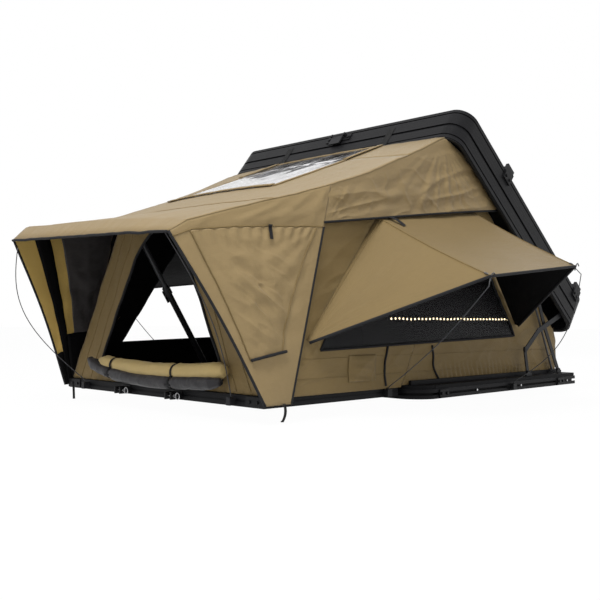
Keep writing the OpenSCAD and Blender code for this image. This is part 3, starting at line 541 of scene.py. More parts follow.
class Shell:
    """Points and faces that become one mesh object, with its weave laid out in metres."""

    def __init__(self) -> None:
        """Starts with nothing."""
        self.points: list[Vector] = []
        self.flat: list[Point2] = []
        self.faces: list[tuple[int, ...]] = []

    def grid(self, rows: Sequence[Sequence[Vector]], flat: Callable[[Vector], Point2] | None = None,
             ring: bool = False, skip: Callable[[Vector], bool] | None = None) -> "Shell":
        """Adds rows of points as a sheet of quads.

        Args:
            rows: Rows with the same number of points.
            flat: Place of a point on the flat cloth; lengths along the sheet if not given.
            ring: Whether each row closes on itself.
            skip: Tells of a quad's centre whether it is left out.

        Returns:
            The shell itself.
        """
        start, wide = len(self.points), len(rows[0])
        middle, down = wide // 2, 0.0
        for j, row in enumerate(rows):
            down += (row[middle] - rows[j - 1][middle]).length if j else 0.0
            over = [0.0]
            for a, b in zip(row, row[1:]):
                over.append(over[-1] + (b - a).length)
            self.points += [p.copy() for p in row]
            self.flat += [flat(p) if flat else (u - over[middle], down) for p, u in zip(row, over)]
        for j in range(len(rows) - 1):
            for i in range(wide if ring else wide - 1):
                k = (i + 1) % wide
                around = (j * wide + i, j * wide + k, (j + 1) * wide + k, (j + 1) * wide + i)
                quad = tuple(start + n for n in around)
                if skip is None or not skip(sum((self.points[n] for n in quad), Vector()) / 4):
                    self.faces.append(quad)
        return self

    def surface(self, shape: Surface, across: int, down: int, flat: Callable[[Vector], Point2] | None = None,
                skip: Callable[[Vector], bool] | None = None) -> "Shell":
        """Adds a sheet from a function of two shares, from 0 to 1."""
        rows = [[shape(i / across, j / down) for i in range(across + 1)] for j in range(down + 1)]
        return self.grid(rows, flat, False, skip)

    def tube(self, path: Sequence[Vector], radius: float | Sequence[float], sides: int = 8) -> "Shell":
        """Adds a closed round tube along a path, with one radius or one for each point."""
        count = len(path)
        sizes = [radius] * count if isinstance(radius, float) else list(radius)
        side = None
        rows = []
        for i, point in enumerate(path):
            ahead = (path[min(i + 1, count - 1)] - path[max(i - 1, 0)]).normalized()
            if side is None:
                side = ahead.orthogonal().normalized()
            side = (side - ahead * side.dot(ahead)).normalized()
            other = ahead.cross(side)
            turns = [2 * math.pi * k / sides for k in range(sides)]
            rows.append([point + (side * math.cos(t) + other * math.sin(t)) * sizes[i] for t in turns])
        start = len(self.points)
        self.grid(rows, None, True)
        self.faces.append(tuple(start + k for k in reversed(range(sides))))
        self.faces.append(tuple(start + (count - 1) * sides + k for k in range(sides)))
        return self

    def strip(self, path: Sequence[Vector], across: Vector | Sequence[Vector], width: float) -> "Shell":
        """Adds a flat band along a path, spread along the across direction."""
        ways = [across] * len(path) if isinstance(across, Vector) else across
        rows = [[p + w * (width * s) for p, w in zip(path, ways)] for s in (-0.5, 0.0, 0.5)]
        return self.grid(rows)

    def lathe(self, centre: Vector, axis: Vector, profile: Sequence[Point2], sides: int = 12) -> "Shell":
        """Adds a turned form: (radius, height) pairs round an axis from a centre."""
        path = [centre + axis * height for _, height in profile]
        side = axis.orthogonal().normalized()
        other = axis.cross(side)
        turns = [2 * math.pi * k / sides for k in range(sides)]
        rows = [[p + (side * math.cos(t) + other * math.sin(t)) * r for t in turns]
                for p, (r, _) in zip(path, profile)]
        return self.grid(rows, None, True)

    def area(self) -> float:
        """Area of the faces before they get a thickness."""
        total = 0.0
        for face in self.faces:
            a = self.points[face[0]]
            for p, q in zip(face[1:], face[2:]):
                total += (self.points[p] - a).cross(self.points[q] - a).length / 2
        return total

    def normals(self) -> list[Vector]:
        """Mean direction of the faces round each point."""
        found = [Vector() for _ in self.points]
        for face in self.faces:
            a, b, c = (self.points[n] for n in (face[0], face[1], face[-1]))
            way = (b - a).cross(c - a)
            for n in face:
                found[n] += way
        return [w.normalized() for w in found]

    def face_towards(self, outward: Vector) -> "Shell":
        """Turns the faces so that most of them look that way."""
        if sum((n.dot(outward) for n in self.normals()), 0.0) < 0:
            self.faces = [tuple(reversed(face)) for face in self.faces]
        return self

    def build(self, name: str, finish: Finish, thick: float = 0.0,
              lining: Finish | None = None) -> bpy.types.Object:
        """Makes the object.

        Args:
            name: Name of the piece.
            finish: Finish of the outer face.
            thick: Thickness added behind the faces, in metres.
            lining: Finish of the back, where it differs.

        Returns:
            The new object, linked to the scene.
        """
        points, faces, flat = list(self.points), list(self.faces), list(self.flat)
        backs = 0
        if thick:
            count = len(points)
            points += [p - n * thick for p, n in zip(self.points, self.normals())]
            flat += self.flat
            edges = {(a, b) for face in self.faces for a, b in zip(face, face[1:] + face[:1])}
            rims = sorted((a, b) for a, b in edges if (b, a) not in edges)
            faces += [(b, a, a + count, b + count) for a, b in rims]
            faces += [tuple(n + count for n in reversed(face)) for face in self.faces]
            backs = len(self.faces)
        mesh = bpy.data.meshes.new(name)
        mesh.from_pydata(points, [], faces)
        layer = mesh.uv_layers.new(name=WEAVE_UV)
        for loop in mesh.loops:
            layer.data[loop.index].uv = flat[loop.vertex_index]
        mesh.materials.append(finish.material)
        if lining:
            mesh.materials.append(lining.material)
            for polygon in mesh.polygons[len(faces) - backs:]:
                polygon.material_index = 1
        mesh.shade_smooth()
        obj = bpy.data.objects.new(name, mesh)
        bpy.context.scene.collection.objects.link(obj)
        return obj


def halves(obj: bpy.types.Object) -> dict[Fold, bpy.types.Object]:
    """Cuts a piece at the floor hinge into the part on the base and the part on the annex.

    Args:
        obj: A piece that crosses the hinge; it becomes the base's part.

    Returns:
        The two parts by how they pack away.
    """
    other = obj.copy()
    other.data = obj.data.copy()
    other.name = obj.name + "_annex"
    bpy.context.scene.collection.objects.link(other)
    for part, inner in ((obj, True), (other, False)):
        work = bmesh.new()
        work.from_mesh(part.data)
        cut = bmesh.ops.bisect_plane(work, geom=work.verts[:] + work.edges[:] + work.faces[:],
                                     plane_co=(FOLD_X, 0, 0), plane_no=(1, 0, 0), clear_inner=inner,
                                     clear_outer=not inner)
        rim = [item for item in cut["geom_cut"] if isinstance(item, bmesh.types.BMEdge) and item.is_boundary]
        for cap in bmesh.ops.holes_fill(work, edges=rim)["faces"]:
            cap.smooth = False
            for edge in cap.edges:
                edge.smooth = False
        work.to_mesh(part.data)
        work.free()
    return {Fold.MAIN: obj, Fold.ANNEX: other}


def pack_away(obj: bpy.types.Object, fold: Fold, slot: str, *nodes: str) -> bpy.types.Object:
    """Lets a soft piece ride on its fold's body, and hides the CAD nodes that it stands for.

    Args:
        obj: The finished piece.
        fold: How it packs away.
        slot: Material slot in the record; not used.
        nodes: CAD nodes that it stands for.

    Returns:
        The piece.
    """
    body, joint, keep, level = fold.value
    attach(obj, body)
    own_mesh(obj)
    if nodes:
        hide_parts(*nodes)
    LOG.info("%s rides %s", obj.name, body)
    return obj


def fix(obj: bpy.types.Object, body: str, slot: str, *nodes: str) -> bpy.types.Object:
    """Lets a stiff piece ride on a body; arguments as in pack_away."""
    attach(obj, body)
    if nodes:
        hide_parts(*nodes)
    LOG.info("%s rides %s", obj.name, body)
    return obj


def declare(obj: bpy.types.Object) -> None:
    """Works out a sewn sheet's cut from its own mesh, and does nothing with it.

    Args:
        obj: The sheet, built with a thickness and perhaps cut open at the floor hinge.
    """
    total = sum(p.area for p in obj.data.polygons) / 2
    places = [vertex.co for vertex in obj.data.vertices]
    spans = sorted(max(p[axis] for p in places) - min(p[axis] for p in places) for axis in range(3))
    width, length = math.hypot(spans[0], spans[1]), spans[2]
    scale = max(1.0, math.sqrt(total / (width * length)))
    cut = tuple(round(side * scale + 5e-4, 3) for side in (width, length))


@dataclass
class FlyRoof:
    """The fly over both floors, from the lid down to the front awning, with its skylight."""

    half_widths: tuple[Point2, ...] = ((AWNING_X, AWNING_HALF), (SPREAD_X, 0.622), (SEAM_X, 0.674),
                                       (ROOF_REAR_X, 0.676))
    crown: float = 0.012
    step: float = 0.03
    sky_front: float = -1.090
    sky_rear: float = -0.440
    sky_half: float = 0.325
    wrinkle: float = 0.005
    edge_sag: float = 0.026
    awning_fold: Point2 = (-1.684, 0.672)
    awning_twist: float = 0.026

    def half(self, x: float) -> float:
        """Half width of the fly at x."""
        for (x0, w0), (x1, w1) in zip(self.half_widths, self.half_widths[1:]):
            if x <= x1:
                return lerp(w0, w1, (x - x0) / (x1 - x0))
        return self.half_widths[-1][1]

    def place(self, x: float, share: float, lift: float = 0.0) -> Vector:
        """Point of the fly at x and at a share of its half width, from -1 to 1."""
        edge = roof_z(x)
        if x < SPREAD_X:
            edge = self.awning(x, share)
        else:
            edge -= self.edge_sag * share ** 2 * math.sin(math.pi * (x - SPREAD_X) / (ROOF_REAR_X - SPREAD_X))
        y = share * self.half(x)
        flat = Vector((x, y, edge + self.crown * (1 - share * share) + lift))
        near_edge = 0.35 + 0.65 * abs(share) ** 3
        pulled = ruffle(flat, (0.22, 0.055, 1.0), self.wrinkle) + ruffle(flat, (0.05, 0.16, 1.0), 0.003)
        return flat + Vector((0, 0, pulled * near_edge))

    def awning(self, x: float, share: float) -> float:
        """Height of the awning at x: out from the spreader to its fold, then down to its bound edge."""
        fold_x, fold_z = self.awning_fold
        if x > fold_x:
            part = (SPREAD_X - x) / (SPREAD_X - fold_x)
            return lerp(SPREAD_Z, fold_z + self.awning_twist * share, part)
        part = (fold_x - x) / (fold_x - AWNING_X)
        low = AWNING_Z + 0.010 - 0.010 * (1 - share ** 2)
        return lerp(fold_z, low, part) + self.awning_twist * share * (1 - 0.3 * part)

    def shares(self) -> list[float]:
        """Shares across the fly, with lines along the skylight's sides."""
        inner = self.sky_half / self.half(self.sky_front)
        return [p.x for p in walk([Vector((s, 0, 0)) for s in (-1, -inner, inner, 1)], 0.035)]

    def lines(self, *stops: float) -> list[float]:
        """Places along X between the stops."""
        return [p.x for p in walk([Vector((s, 0, 0)) for s in stops], self.step)]

    def build(self) -> None:
        """Makes the two roof panels, the skylight, its hem and the front trim."""
        marks = (AWNING_X, self.awning_fold[0], SPREAD_X, SEAM_X, self.sky_front, FOLD_X, self.sky_rear,
                 ROOF_REAR_X)
        inside = self.sky_half - 0.002

        def in_window(centre: Vector) -> bool:
            """Says whether a face lies in the skylight."""
            return self.sky_front < centre.x < self.sky_rear and abs(centre.y) < inside

        for fold, stops, node in ((Fold.MAIN, marks[5:], "main_roof"), (Fold.ANNEX, marks[:6], "annex_roof")):
            rows = [[self.place(x, s) for s in self.shares()] for x in self.lines(*stops)]
            panel = Shell().grid(rows, lambda p: (p.x, p.y), skip=in_window).face_towards(Vector((0, 0, 1)))
            roof = panel.build(f"fly_{node}", Finish.FLY, CLOTH, Finish.LINING)
            pack_away(roof, fold, "fly", node)
            declare(roof)
        self.skylight()
        self.trim()

    def skylight(self) -> None:
        """Makes the clear panes and the hem sewn round them."""
        reach = 0.012
        inner = (self.sky_half + reach) / self.half(self.sky_front)
        shares = [lerp(-inner, inner, i / 24) for i in range(25)]
        spans = {Fold.MAIN: (FOLD_X, self.sky_rear + reach), Fold.ANNEX: (self.sky_front - reach, FOLD_X)}
        for fold, span in spans.items():
            rows = [[self.place(x, s, 0.0028) for s in shares] for x in self.lines(*span)]
            pane = Shell().grid(rows, lambda p: (p.x, p.y)).face_towards(Vector((0, 0, 1)))
            film = pane.build(f"skylight_film_{fold.body}", Finish.FILM, 0.0008)
            pack_away(film, fold, "clear_film", "skylight_pane")
            declare(film)
            ends = [span[1] if fold is Fold.MAIN else span[0]]
            hem = Shell()
            for side in (-inner, inner):
                hem.strip([self.place(x, side, 0.0046) for x in self.lines(*span)], Vector((0, 1, 0)), 0.026)
            for x in ends:
                hem.strip([self.place(x, s, 0.0046) for s in shares], Vector((0.935, 0, 0.353)), 0.026)
            hem.face_towards(Vector((0, 0, 1)))
            border = hem.build(f"skylight_hem_{fold.body}", Finish.FLY, 0.0044)
            pack_away(border, fold, "fly")

    def trim(self) -> None:
        """Makes the bound front edge of the awning and the seam over the spreader."""
        shares = [lerp(-1, 1, i / 40) for i in range(41)]
        edge = [self.place(AWNING_X, s) + Vector((0.001, 0, -0.002)) for s in shares]
        bound = Shell().tube(edge, 0.005).build("awning_front_binding", Finish.BINDING)
        pack_away(bound, Fold.ANNEX, "webbing")
        seam = [self.place(SPREAD_X, s * 0.998, 0.0008) for s in shares]
        sewn = Shell().tube(seam, 0.0022, 6).build("spreader_seam", Finish.FLY)
        pack_away(sewn, Fold.ANNEX, "fly")


@dataclass
class FlyLeg:
    """A side leg of the fly, from the annex floor's corner up to the awning, with a closed window flap."""

    side: Side
    roof: FlyRoof = field(default_factory=FlyRoof)
    foot_front: tuple[float, float, float] = (-1.432, 0.654, 0.026)
    foot_rear: tuple[float, float, float] = (-1.308, 0.654, 0.026)
    bend: float = 0.6
    flap_low: tuple[float, float, float] = (0.10, 0.62, 0.25)
    flap_high: Point2 = (0.09, 0.93)
    seam_high: Point2 = (0.970, 0.800)
    arch: float = 0.016

    def head(self, u: float) -> Vector:
        """Point of the fly's edge over a share of the leg, from its front edge back."""
        share = min(max(u, 0.0), 1.0)
        if share < self.bend:
            x = lerp(AWNING_X + 0.004, SPREAD_X, share / self.bend)
        else:
            x = lerp(SPREAD_X, SEAM_X - 0.004, (share - self.bend) / (1 - self.bend))
        return self.roof.place(x, self.side.value * 0.998) - Vector((0, 0, 0.0015))

    def foot(self, u: float) -> Vector:
        """Point of the leg's lower edge."""
        x, y, z = lerp(Vector(self.foot_front), Vector(self.foot_rear), u)
        return Vector((x, y * self.side.value, z))

    def outward(self) -> Vector:
        """Direction out of the tent."""
        foot = self.foot(0.0)
        way = (self.foot(1.0) - foot).cross(self.head(0.0) - foot).normalized()
        return way if way.y * self.side.value > 0 else -way

    def place(self, u: float, v: float, lift: float = 0.0) -> Vector:
        """Point of the leg: u from the front edge back, v from the foot up."""
        bow = self.arch * math.sin(math.pi * v) ** 1.2 * (1 - u)
        flat = lerp(self.foot(u), self.head(u), v) + Vector((bow, 0, 0))
        slack = ruffle(flat, (0.10, 0.3, 0.06), 0.010) + ruffle(flat, (0.04, 0.2, 0.2), 0.006)
        slack += fan(flat, Vector((-1.152, flat.y, 0.679)), 8.0, 0.25, 0.022)
        free = math.sin(math.pi * min(max(u, 0), 1)) * math.sin(math.pi * min(max(v, 0), 1))
        return flat + self.outward() * (slack * free + self.gusset(u, v, flat) + lift)

    def gusset(self, u: float, v: float, flat: Vector) -> float:
        """Height of the creases in the part above the seam, where the fly is pulled over its corner."""
        clear = (v - lerp(*self.seam_high, min(max(u, 0.0), 1.0))) / 0.04
        band = min(clear, (1 - v) / 0.04, u / 0.10, (1 - u) / 0.05, 1.0)
        slant = Vector((flat.x + 0.6 * flat.z, flat.y, flat.z - 0.5 * flat.x))
        return max(band, 0.0) * crease(slant, (0.24, 0.5, 0.07), 0.008)

    def flap(self, s: float, t: float, lift: float) -> Vector:
        """Point of the window flap, by shares across and up it."""
        (l0, r0, v0), (l1, r1) = self.flap_low, self.flap_high
        across = lerp(lerp(l0, r0, s), lerp(l1, r1, s), t)
        point = self.place(across, lerp(v0, lerp(*self.seam_high, across) - 0.006, t), lift)
        loose = math.sin(math.pi * s) * math.sin(math.pi * t)
        slant = Vector((point.x - 0.75 * point.z, point.y, point.z + 0.75 * point.x))
        folds = ruffle(slant, (0.26, 0.5, 0.055), 0.016) + crease(slant, (0.34, 0.5, 0.075), 0.009) + 0.008
        folds += crease(slant + Vector((7, 0, 3)), (0.17, 0.5, 0.06), 0.005)
        pleats = 0.0035 * math.sin(2 * math.pi * s * 11) * max(0.0, 1 - (1 - t) / 0.16)
        loose += pleats / max(folds, 0.004) if 0.02 < s < 0.98 else 0.0
        return point + self.outward() * (folds * loose)

    def build(self) -> None:
        """Makes the leg, its flap, zip, toggle and bindings, and the mesh and bands on its inner face."""
        word, out = self.side.word, self.outward()
        leg = Shell().surface(self.place, 60, 80).face_towards(out)
        # The leg's back face is painted light, bright as if light shone through the cloth.
        cloth = leg.build(f"fly_leg_canvas_{word}", Finish.FLY, CLOTH, Finish.GLOWING)
        pack_away(cloth, Fold.ANNEX, "fly", f"fly_leg_{word}")
        declare(cloth)
        flap = Shell().surface(lambda s, t: self.flap(s, t, 0.003), 84, 96).face_towards(out)
        cover = flap.build(f"leg_window_flap_{word}", Finish.FLY, CLOTH)
        pack_away(cover, Fold.ANNEX, "fly")
        declare(cover)
        self.bindings(word)
        self.inner_face(word)

    def bindings(self, word: str) -> None:
        """Makes the bound edges, the stitching, the zip and the toggle."""
        shares = [i / 40 for i in range(41)]
        bound = Shell()
        bound.tube([self.place(0.0, v) for v in shares], 0.005)
        bound.tube([self.place(1.0, v * 0.80) for v in shares], 0.004)
        pack_away(bound.build(f"leg_binding_{word}", Finish.BINDING), Fold.ANNEX, "webbing")
        sewn = Shell()
        for s in (0.0, 1.0):
            sewn.tube([self.flap(s, t, 0.0042) for t in shares], 0.0022, 6)
        sewn.tube([self.place(s, lerp(*self.seam_high, s), 0.0016) for s in shares], 0.0024, 6)
        pack_away(sewn.build(f"leg_flap_stitching_{word}", Finish.CANVAS), Fold.ANNEX, "canvas")
        closing = Shell().tube([self.flap(lerp(-0.03, 1.1, s), 0.0, 0.011) for s in shares], 0.0055)
        tail = [self.place(0.56, lerp(0.872, 0.805, t), 0.012) for t in shares]
        closing.strip(tail, Vector((1, 0, 0)), 0.016)
        closing.tube([self.place(0.56, v, 0.013) for v in (0.877, 0.867)], 0.007)
        pack_away(closing.build(f"leg_zip_and_toggle_{word}", Finish.BINDING), Fold.ANNEX, "webbing")

    def inner_face(self, word: str) -> None:
        """Makes the dark mesh and the black bands that show inside the leg."""
        def window(s: float, t: float) -> Vector:
            """Point of the loose mesh, for shares across and up."""
            point = self.place(lerp(lerp(0.42, 0.90, s), lerp(0.38, 0.985, s), t), lerp(0.33, 0.985, t),
                               -0.008)
            loose = math.sin(math.pi * s) * math.sin(math.pi * t)
            return point - self.outward() * (0.006 + ruffle(point, (0.06, 0.3, 0.04), 0.011)) * loose

        net = Shell().surface(window, 30, 36).face_towards(-self.outward())
        panel = net.build(f"leg_mesh_{word}", Finish.NET_PANEL, 0.001)
        pack_away(panel, Fold.ANNEX, "mesh")
        declare(panel)
        bands = Shell()
        bands.surface(lambda s, t: self.place(lerp(0.14, 0.28, s), t, -0.005), 3, 40)
        bands.surface(lambda s, t: self.place(lerp(0.28, 1.0, s), lerp(0.0, 0.33, t), -0.005), 10, 10)
        bands.surface(lambda s, t: self.place(lerp(0.0, 0.14, s), lerp(0.0, 0.22, t), -0.005), 3, 10)
        bands.face_towards(-self.outward())
        pack_away(bands.build(f"leg_inner_bands_{word}", Finish.LINING, 0.001), Fold.ANNEX, "webbing")


@dataclass
class FlyValance:
    """The strip of fly that hangs over a side window's hood."""

    side: Side
    low_front: tuple[float, float, float] = (-1.160, 0.668, 0.670)
    low_rear: tuple[float, float, float] = (0.010, 0.690, 0.832)
    high_x: Point2 = (-1.146, -0.424)
    tuck: float = 0.09
    roof: FlyRoof = field(default_factory=FlyRoof)

    def place(self, u: float, v: float) -> Vector:
        """Point of the valance: u from the front back, v from its free edge up."""
        sign = self.side.value
        x, y, z = lerp(Vector(self.low_front), Vector(self.low_rear), u)
        high = self.roof.place(lerp(*self.high_x, u), sign * 0.998) - Vector((0, 0, 0.0015))
        flat = lerp(Vector((x, y * sign, z)), high, v)
        flat.x += self.tuck * u ** 5 * (1 - v) ** 0.4
        along = Vector((flat.x + flat.z * 0.9, flat.y, flat.z - flat.x * 0.25))
        slack = ruffle(along, (0.30, 1.0, 0.045), 0.011) + crease(along, (0.40, 1.0, 0.085), 0.008)
        slack += crease(along + Vector((5, 0, 2)), (0.11, 1.0, 0.07), 0.004)
        slack += fan(flat, Vector((-0.43, flat.y, 1.10)), 9.0, 0.45, 0.013)
        slack += fan(flat, Vector((-1.15, flat.y, 0.66)), 7.0, 0.30, 0.010)
        slack *= min(1.0, u / 0.06)
        hang = 0.004 * math.sin(math.pi * u) * (1 - v)
        return flat + Vector((0, sign * (slack * math.sin(math.pi * (0.25 + 0.75 * v)) + hang), 0))

    def build(self) -> None:
        """Makes the valance in two parts, with its bound edge."""
        word, sign = self.side.word, self.side.value
        shell = Shell().surface(self.place, 180, 54).face_towards(Vector((0, sign, 0)))
        cloth = shell.build(f"fly_valance_{word}", Finish.FLY, CLOTH, Finish.LINING)
        for fold, part in halves(cloth).items():
            pack_away(part, fold, "fly", "fly_valances")
            declare(part)
        edge = [self.place(i / 80, 0.0) for i in range(81)]
        bound = Shell().tube(edge, 0.0045).build(f"valance_binding_{word}", Finish.BINDING)
        for fold, part in halves(bound).items():
            pack_away(part, fold, "webbing")


@dataclass
class WindowHood:
    """A side window's awning, held out on two hooked rods."""

    side: Side
    wall_line: tuple[tuple[float, float, float], ...] = ((-1.225, 0.648, 0.244), (-0.835, 0.648, 0.722),
                                                         (-0.190, 0.648, 0.808), (0.205, 0.648, 0.301))
    free_line: tuple[tuple[float, float, float], ...] = ((-1.229, 0.664, 0.238), (-0.825, 1.148, 0.4739),
                                                         (-0.192, 1.148, 0.5389), (0.209, 0.664, 0.295))
    sag: float = 0.022

    def along(self, line: Sequence[Sequence[float]], share: float) -> Vector:
        """Point of a four-point line, with a third of the share to each stretch."""
        place = min(share * 3, 2.9999)
        part = int(place)
        a, b = (Vector((x, y * self.side.value, z)) for x, y, z in line[part:part + 2])
        return lerp(a, b, place - part)

    def place(self, u: float, v: float, lift: float = 0.0) -> Vector:
        """Point of the hood: u along it, v from its free edge to the wall."""
        flat = lerp(self.along(self.free_line, u), self.along(self.wall_line, u), v)
        third = abs(math.sin(1.5 * math.pi * u * 2))
        hollow = self.sag * math.sin(math.pi * v) * math.sin(math.pi * u) * (0.45 + 0.55 * third)
        slack = ruffle(flat, (0.20, 0.14, 0.20), 0.005) * math.sin(math.pi * v) * third
        return flat + Vector((0, 0, lift - hollow + slack))

    def build(self) -> None:
        """Makes the hood with its dark lining, its seams, bound edge and grommets."""
        word = self.side.word
        out = Vector((0, self.side.value, 1.2))
        shell = Shell().surface(self.place, 96, 40).face_towards(out)
        cloth = shell.build(f"window_hood_{word}", Finish.CANVAS, 0.0018, Finish.LINING)
        for fold, part in halves(cloth).items():
            pack_away(part, fold, "canvas", f"window_awning_{word}")
            declare(part)
        shares = [i / 60 for i in range(61)]
        bound = Shell().tube([self.place(s, 0.0, -0.001) for s in shares], 0.0055)
        tab = [self.place(0.345 + 0.02 * s, 0.985 - 0.16 * s,
                          0.004 + 0.012 * math.sin(math.pi * s)) for s in shares]
        bound.strip(tab, Vector((1, 0, 0.3)).normalized(), 0.018)
        sewn = Shell()
        for u in (1 / 3, 2 / 3):
            sewn.tube([self.place(u, s, 0.0005) for s in shares], 0.0022, 6)
        sewn.tube([self.place(s, 0.965, 0.0008) for s in shares], 0.0024, 6)
        for piece, slot in ((bound.build(f"hood_binding_{word}", Finish.BINDING), "webbing"),
                            (sewn.build(f"hood_seams_{word}", Finish.CANVAS), "canvas")):
            for fold, part in halves(piece).items():
                pack_away(part, fold, slot)
        rings = Shell()
        for u in (1 / 3, 2 / 3):
            eye = self.place(u, 0.035, 0.0012)
            rings.lathe(eye, Vector((0, self.side.value * 0.5, 0.85)).normalized(),
                        ((0.004, 0.0), (0.009, 0.0), (0.010, 0.0012), (0.008, 0.0024), (0.004, 0.0016),
                         (0.004, 0.0)), 16)
        for fold, part in halves(rings.build(f"hood_grommets_{word}", Finish.SPRING)).items():
            pack_away(part, fold, "steel")


def ring_rows(outer: Sequence[Vector], hole: Sequence[Vector], centre: Vector,
              count: int) -> list[list[Vector]]:
    """Rows of points between a closed outline and a closed hole, along rays from a centre.

    Args:
        outer: Points of the outline.
        hole: Corners of the hole.
        centre: A point inside the hole that sees both lines.
        count: Number of quads from one to the other.

    Returns:
        Rows from the outline in to the hole, all in the XZ plane.
    """
    met = []
    for point in outer:
        way = point - centre
        found = centre
        for a, b in zip(hole, list(hole[1:]) + [hole[0]]):
            edge = b - a
            cross = way.x * edge.z - way.z * edge.x
            if abs(cross) < 1e-12:
                continue
            gap = a - centre
            out = (gap.x * edge.z - gap.z * edge.x) / cross
            part = (gap.x * way.z - gap.z * way.x) / cross
            if out > 0 and -1e-9 <= part <= 1 + 1e-9:
                found = centre + way * out
        met.append(found)
    return [[lerp(a, b, j / count) for a, b in zip(outer, met)] for j in range(count + 1)]


def flat_points(pairs: Sequence[Point2]) -> list[Vector]:
    """Points in the XZ plane."""
    return [Vector((x, 0, z)) for x, z in pairs]


@dataclass
class SideWall:
    """One side's canvas wall over both floors, with its window, mesh and bottom hem."""

    side: Side
    outline: tuple[Point2, ...] = ((-1.335, 0.0485), (-0.675, 0.0485), (-0.672, 0.0565), (0.612, 0.0565),
                                   (0.612, 0.215), (0.600, 0.262), (-0.368, 1.118), (-0.392, 1.080),
                                   (-0.418, 1.086), (-0.675, 0.972), (-1.185, 0.784))
    window: tuple[Point2, ...] = ((-1.150, 0.208), (0.205, 0.245), (-0.205, 0.765), (-0.825, 0.672))
    centre: Point2 = (-0.45, 0.48)
    mesh_reach: float = 0.014
    step: float = 0.0075
    hem_pitch: float = 0.034

    def dress(self, flat: Vector, lift: float = 0.0, slack: float = 1.0) -> Vector:
        """Puts a flat point on the wall, with its wrinkles; lift is outward, in metres."""
        low = max(0.0, 1 - (flat.z - DECK_Z) / 0.09)
        gather = 0.0042 * low * math.sin(2 * math.pi * flat.x / self.hem_pitch + 3 * flat.z / 0.05)
        gather *= 1.0 if flat.x > -0.40 else 0.25
        slant = Vector((flat.x + flat.z, flat.y, flat.z - 0.6 * flat.x))
        folds = ruffle(flat, (0.16, 1, 0.07), 0.007) + crease(slant, (0.26, 1, 0.10), 0.0035)
        above_hem = min(1.0, max(0.0, (flat.z - 0.06) / 0.05))
        out = lift + (folds * above_hem + gather) * slack
        return Vector((flat.x, self.side.value * (WALL_Y + 0.003 + out), flat.z))

    def build(self) -> None:
        """Makes the wall, its window binding, mesh, sill lines, flap and hook patch."""
        word, sign = self.side.word, self.side.value
        rim = walk(flat_points(self.outline), self.step, True)
        rows = ring_rows(rim, flat_points(self.window), flat_points([self.centre])[0], 26)
        shell = Shell().grid([[self.dress(p) for p in row] for row in rows], lambda p: (p.x, p.z), True)
        shell.face_towards(Vector((0, sign, 0)))
        wall = shell.build(f"wall_canvas_{word}", Finish.CANVAS, CLOTH, Finish.LINING)
        for fold, part in halves(wall).items():
            pack_away(part, fold, "canvas", f"{'main' if fold is Fold.MAIN else 'annex'}_wall_{word}")
            declare(part)
        edge = walk(flat_points(self.window), 0.02, True)
        edge.append(edge[0])
        tape = Shell().tube([self.dress(p, 0.001) for p in edge], 0.0045)
        bound = tape.build(f"window_binding_{word}", Finish.BINDING)
        for fold, part in halves(bound).items():
            pack_away(part, fold, "webbing")
        if self.side is Side.NEAR:
            self.mesh()
        self.sill()

    def mesh(self) -> None:
        """Makes the insect mesh across the photographed window."""
        a, b, c, d = flat_points(self.window)
        middle = (a + b + c + d) / 4
        corners = [p + (p - middle).normalized() * self.mesh_reach for p in (a, b, c, d)]
        net = Shell().surface(lambda u, v: self.hang(patch(corners, u, v)), 60, 30, lambda p: (p.x, p.z))
        net.face_towards(Vector((0, self.side.value, 0)))
        for fold, part in halves(net.build("window_mesh_panel", Finish.MESH, 0.0006)).items():
            pack_away(part, fold, "mesh", "window_mesh")
            declare(part)

    def hang(self, flat: Vector) -> Vector:
        """Point of the mesh, just inside the wall."""
        soft = ruffle(flat, (0.14, 1, 0.05), 0.002)
        return Vector((flat.x, self.side.value * (WALL_Y - 0.0006 + 0.4 * max(soft, 0.0)), flat.z))

    def sill(self) -> None:
        """Makes the bound lines under the window, the cable flap, the stitched hem and the hook patch."""
        word, sign = self.side.word, self.side.value
        lines = Shell()
        for top, bend, foot in ((-0.764, -0.785, -0.776), (-0.470, -0.462, -0.412)):
            stops = rounded(flat_points([(top, 0.214), (bend, 0.16), (bend, 0.12), (foot, 0.060)]), 0.05)
            lines.tube([self.dress(p, 0.0035) for p in walk(stops, 0.01)], 0.0042)
        patch_corners = flat_points([(-1.325, 0.066), (-1.283, 0.066), (-1.283, 0.120), (-1.325, 0.120)])
        lines.surface(lambda u, v: self.dress(patch(patch_corners, u, v), 0.004), 6, 6)
        marks = lines.build(f"wall_binding_{word}", Finish.BINDING)
        flap_corners = flat_points([(-1.00, 0.085), (-0.84, 0.085), (-0.84, 0.185), (-1.00, 0.185)])

        def flap(u: float, v: float) -> Vector:
            """Point of the cable port's cover, for shares along and up."""
            bulge = 0.012 * math.sin(math.pi * u) * math.sin(math.pi * v)
            point = patch(flap_corners, u, v)
            fold = 0.006 * math.sin(2 * math.pi * (v * 2.2 + 0.4 * u)) * math.sin(math.pi * u) * (1 - v)
            return self.dress(point, 0.004 + bulge + fold)

        port = Shell().surface(flap, 26, 22).face_towards(Vector((0, sign, 0)))
        cover = port.build(f"cable_flap_{word}", Finish.CANVAS, CLOTH)
        hem = Shell()
        for z in (0.107, 0.178):
            seam = walk(flat_points([(-1.27, z), (0.608, z)]), 0.012)
            hem.tube([self.dress(p, 0.0006) for p in seam], 0.0014, 5)
        sewn = hem.build(f"wall_seams_{word}", Finish.CANVAS)
        for piece, slot in ((marks, "webbing"), (cover, "canvas"), (sewn, "canvas")):
            for fold, part in halves(piece).items():
                if part.data.polygons:
                    pack_away(part, fold, slot)
                else:
                    bpy.data.objects.remove(part)
                    continue
                if piece is cover:
                    declare(part)


